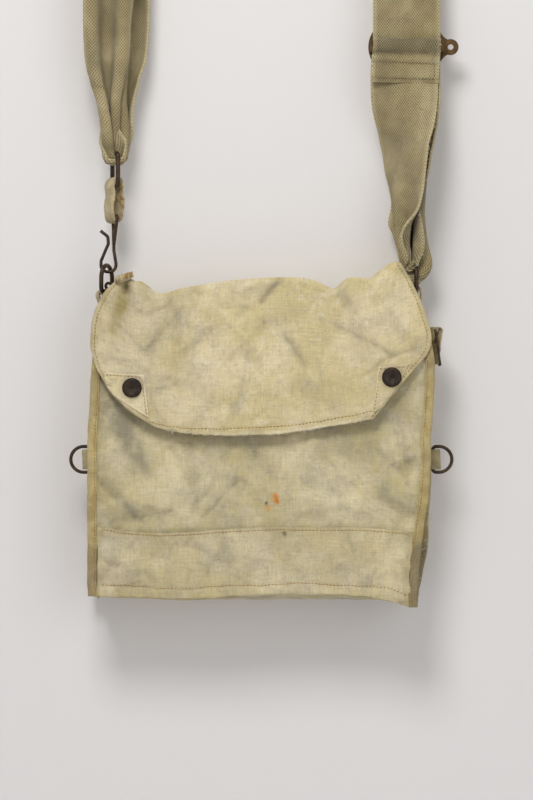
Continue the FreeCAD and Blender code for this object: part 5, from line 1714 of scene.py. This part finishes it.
def make_sling():
    """The long length of webbing with its sewn end and worn selvages."""
    cloth, route = sling_cloth(sling_route(), 301)
    tones = sling_tones(cloth, 303)
    x, z = cloth.grid[..., 0], cloth.grid[..., 2]
    heights, places = np.array(GAP_SHADE_LINE).T * MM
    below_slider = (x > 0) * (1 - smooth((z - 360 * MM) / (30 * MM)))
    # Painted near-black shade in the gap behind the front leg's edge, below the buckle
    tones["soot_and_shade"] = 0.75 * bell(x - np.interp(z, heights, places), 2.8 * MM) * below_slider
    dress(cloth, "sling_webbing", SLING_WEBBING, "webbing", tones, "strap", "strap_webbing")
    seams = Threads()
    for row in (4, 7):
        stitch_on(seams, cloth, np.linspace(0.06, 0.94, 80), row / len(route), pitch=3.2 * MM)
    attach(seams.build("sling_end_stitches", KHAKI_THREAD, "webbing"), "strap")
    frays = Threads()
    random = np.random.RandomState(305)
    for _ in range(420):
        edge = random.choice([0.0, 1.0])
        spot = cloth.place(np.array(edge), np.array(random.uniform(0.0, 1.0)))[0]
        add_fray(frays, random, spot, (random.uniform(-1, 1), -0.5, random.uniform(-0.8, 0.5)), 2.0 * MM)
    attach(frays.build("sling_frays", PALE_FRAY, "webbing"), "strap")


BOX_ROWS = (2.6 * MM, 15 * MM)  # how far the box stitch's rows lie from the sewn end


def make_front_leg():
    """The length from the right ring to the buckle, over its bar and down to its sewn end."""
    cloth = sling_cloth(front_leg_route(), 311)[0]
    tones = sling_tones(cloth, 313)
    height = np.abs(cloth.grid[..., 2] - middle("slider_bar")[2])
    # Painted shade on the band wrapped over the buckle's bar, with a faint line just past its edges
    wrap_band_shade = 0.62 * (1 - smooth((height - 4.6 * MM) / (1 * MM))) + 0.25 * bell(height - 5.6 * MM, 0.9 * MM)
    tones["smear_and_shade"] = np.clip(tones["smear_and_shade"] + wrap_band_shade, 0, 0.85)
    tones["rub"] = tones["rub"] * (1 - wrap_band_shade)
    total = cloth.pattern[-1, 0, 1]
    from_end = total - cloth.pattern[..., 1]
    rows = sum(bell(from_end - inset, 1.2 * MM) for inset in BOX_ROWS)
    # Painted shade along the box stitch's two rows
    tones["soot_and_shade"] = 0.4 * rows * (0.7 + 0.3 * noise(cloth.pattern[..., 0], from_end, 5 * MM, 317))
    leg = cloth.build("sling_front_leg", SLING_WEBBING, "webbing", tones)
    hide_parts("strap_return")
    seams = Threads()
    across = np.linspace(0.05, 0.95, 90)
    upper, lower = (1 - inset / total for inset in reversed(BOX_ROWS))
    for share in (lower, upper):
        stitch_on(seams, cloth, across, share, pitch=2.6 * MM)
    for edge in (across[0], across[-1]):
        stitch_on(seams, cloth, edge, np.linspace(upper, lower, 40), pitch=2.6 * MM)
    frays = Threads()
    random = np.random.RandomState(315)
    for _ in range(90):
        edge = random.choice([0.0, 1.0])
        spot = cloth.place(np.array(edge), np.array(random.uniform(0.35, 1.0)))[0]
        add_fray(frays, random, spot, (0.8 - 1.6 * edge, -0.4, random.uniform(-0.8, 0.5)), 2.2 * MM)
    stitches = seams.build("sling_box_stitches", KHAKI_THREAD, "webbing")
    yarns = frays.build("sling_leg_frays", PALE_FRAY, "webbing")
    for part in (leg, stitches, yarns):
        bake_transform(part)


# ---- metal ----------------------------------------------------------------------------------


def finish_metal():
    """The frame's own metal pieces keep their shape and get an aged finish."""
    snap_nodes = ["snap_caps", "snap_sockets", "snap_studs", "snap_stud_washers"]
    snap_nodes += ["tab_rivets", "corner_eyelet"]
    for name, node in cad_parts.items():
        if node.hide_render:
            continue
        finish = SNAP_METAL if name in snap_nodes else BRONZE if name.startswith("slider") else DARK_METAL
        node.data.materials.clear()
        node.data.materials.append(finish)
        node.data.polygons.foreach_set("use_smooth", [True] * len(node.data.polygons))
        split = node.modifiers.new("crisp", "EDGE_SPLIT")
        split.split_angle = math.radians(38)


tab_seams = Threads()
for side in ("left", "right"):
    make_side_tab(side, tab_seams)
    make_corner_tab(side)
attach(tab_seams.build("side_tab_stitches", KHAKI_THREAD, "tab_tape"), "bag")
make_keeper_tab()
make_hook_tab()
make_sling()
make_front_leg()
finish_metal()

# ---- stage ----------------------------------------------------------------------------------


def plain_wall(name, corners, colour, see_through_back):
    """A matt plane, which a camera behind it can see through if asked."""
    mesh = bpy.data.meshes.new(name)
    mesh.from_pydata(corners, [], [[0, 1, 2, 3]])
    shader = Shader(name)
    shader.feed(shader.surface.inputs["Base Color"], colour)
    shader.feed(shader.surface.inputs["Roughness"], 0.95)
    shader.feed(shader.surface.inputs["Specular IOR Level"], 0.1)
    if see_through_back:
        back = shader.node("ShaderNodeNewGeometry").outputs["Backfacing"]
        clear = shader.node("ShaderNodeBsdfTransparent").outputs[0]
        inputs = {0: back, 1: shader.surface.outputs[0], 2: clear}
        both = shader.node("ShaderNodeMixShader", inputs).outputs[0]
        shader.feed(shader.tree.nodes["Material Output"].inputs["Surface"], both)
    mesh.materials.append(shader.material)
    wall = bpy.data.objects.new(name, mesh)
    bpy.context.scene.collection.objects.link(wall)
    return wall


def add_light(name, place, target, size, power, colour):
    """A round area light aimed at a place."""
    lamp = bpy.data.lights.new(name, "AREA")
    lamp.shape = "DISK"
    lamp.size = size
    lamp.energy = power
    lamp.color = colour
    light = bpy.data.objects.new(name, lamp)
    light.location = place
    light.rotation_euler = (Vector(target) - Vector(place)).to_track_quat("-Z", "Y").to_euler()
    bpy.context.scene.collection.objects.link(light)


def make_stage():
    """A pale wall and floor with soft light from the upper left."""
    centre = Vector((cad_box[0] + cad_box[1]) / 2)
    wall_y = cad_box[1][1] + 3 * MM
    wide, tall, floor_z = 3.0, 3.0, -0.42
    paper = paint(221, 219, 219)
    wall = [(-wide, wall_y, floor_z), (wide, wall_y, floor_z), (wide, wall_y, tall), (-wide, wall_y, tall)]
    plain_wall("backdrop", wall, paper, True).visible_shadow = False
    ground = [(-wide, -wide, floor_z), (wide, -wide, floor_z), (wide, wide, floor_z), (-wide, wide, floor_z)]
    plain_wall("floor", ground, paper, False)
    aim = (0, 0, centre.z - 0.15)
    add_light("key", (-0.35, -1.45, 1.6), aim, 0.75, 25, (1.0, 0.985, 0.965))
    add_light("fill", (1.1, -1.9, 0.5), aim, 1.6, 7, (0.97, 0.985, 1.0))
    add_light("behind", (0.3, 1.7, 1.2), aim, 1.4, 18, (1.0, 1.0, 1.0))
    world = bpy.data.worlds.new("studio")
    world.use_nodes = True
    world.node_tree.nodes["Background"].inputs[0].default_value = (1.0, 0.995, 0.985, 1)
    world.node_tree.nodes["Background"].inputs[1].default_value = 0.42
    bpy.context.scene.world = world
    bpy.context.scene.view_settings.view_transform = "Standard"


def make_camera():
    """A long lens, square on to the front and level with the flap's lower part."""
    front = Vector((4 * MM, -20 * MM, 154 * MM))
    distance = 3.4
    frame_height = 0.616
    camera = bpy.data.cameras.new("camera")
    camera.lens = camera.sensor_width * distance / frame_height
    viewer = bpy.data.objects.new("camera", camera)
    viewer.location = front - Vector((0, distance, 0))
    viewer.rotation_euler = (math.pi / 2, 0, 0)
    bpy.context.scene.collection.objects.link(viewer)
    bpy.context.scene.camera = viewer


make_stage()
make_camera()
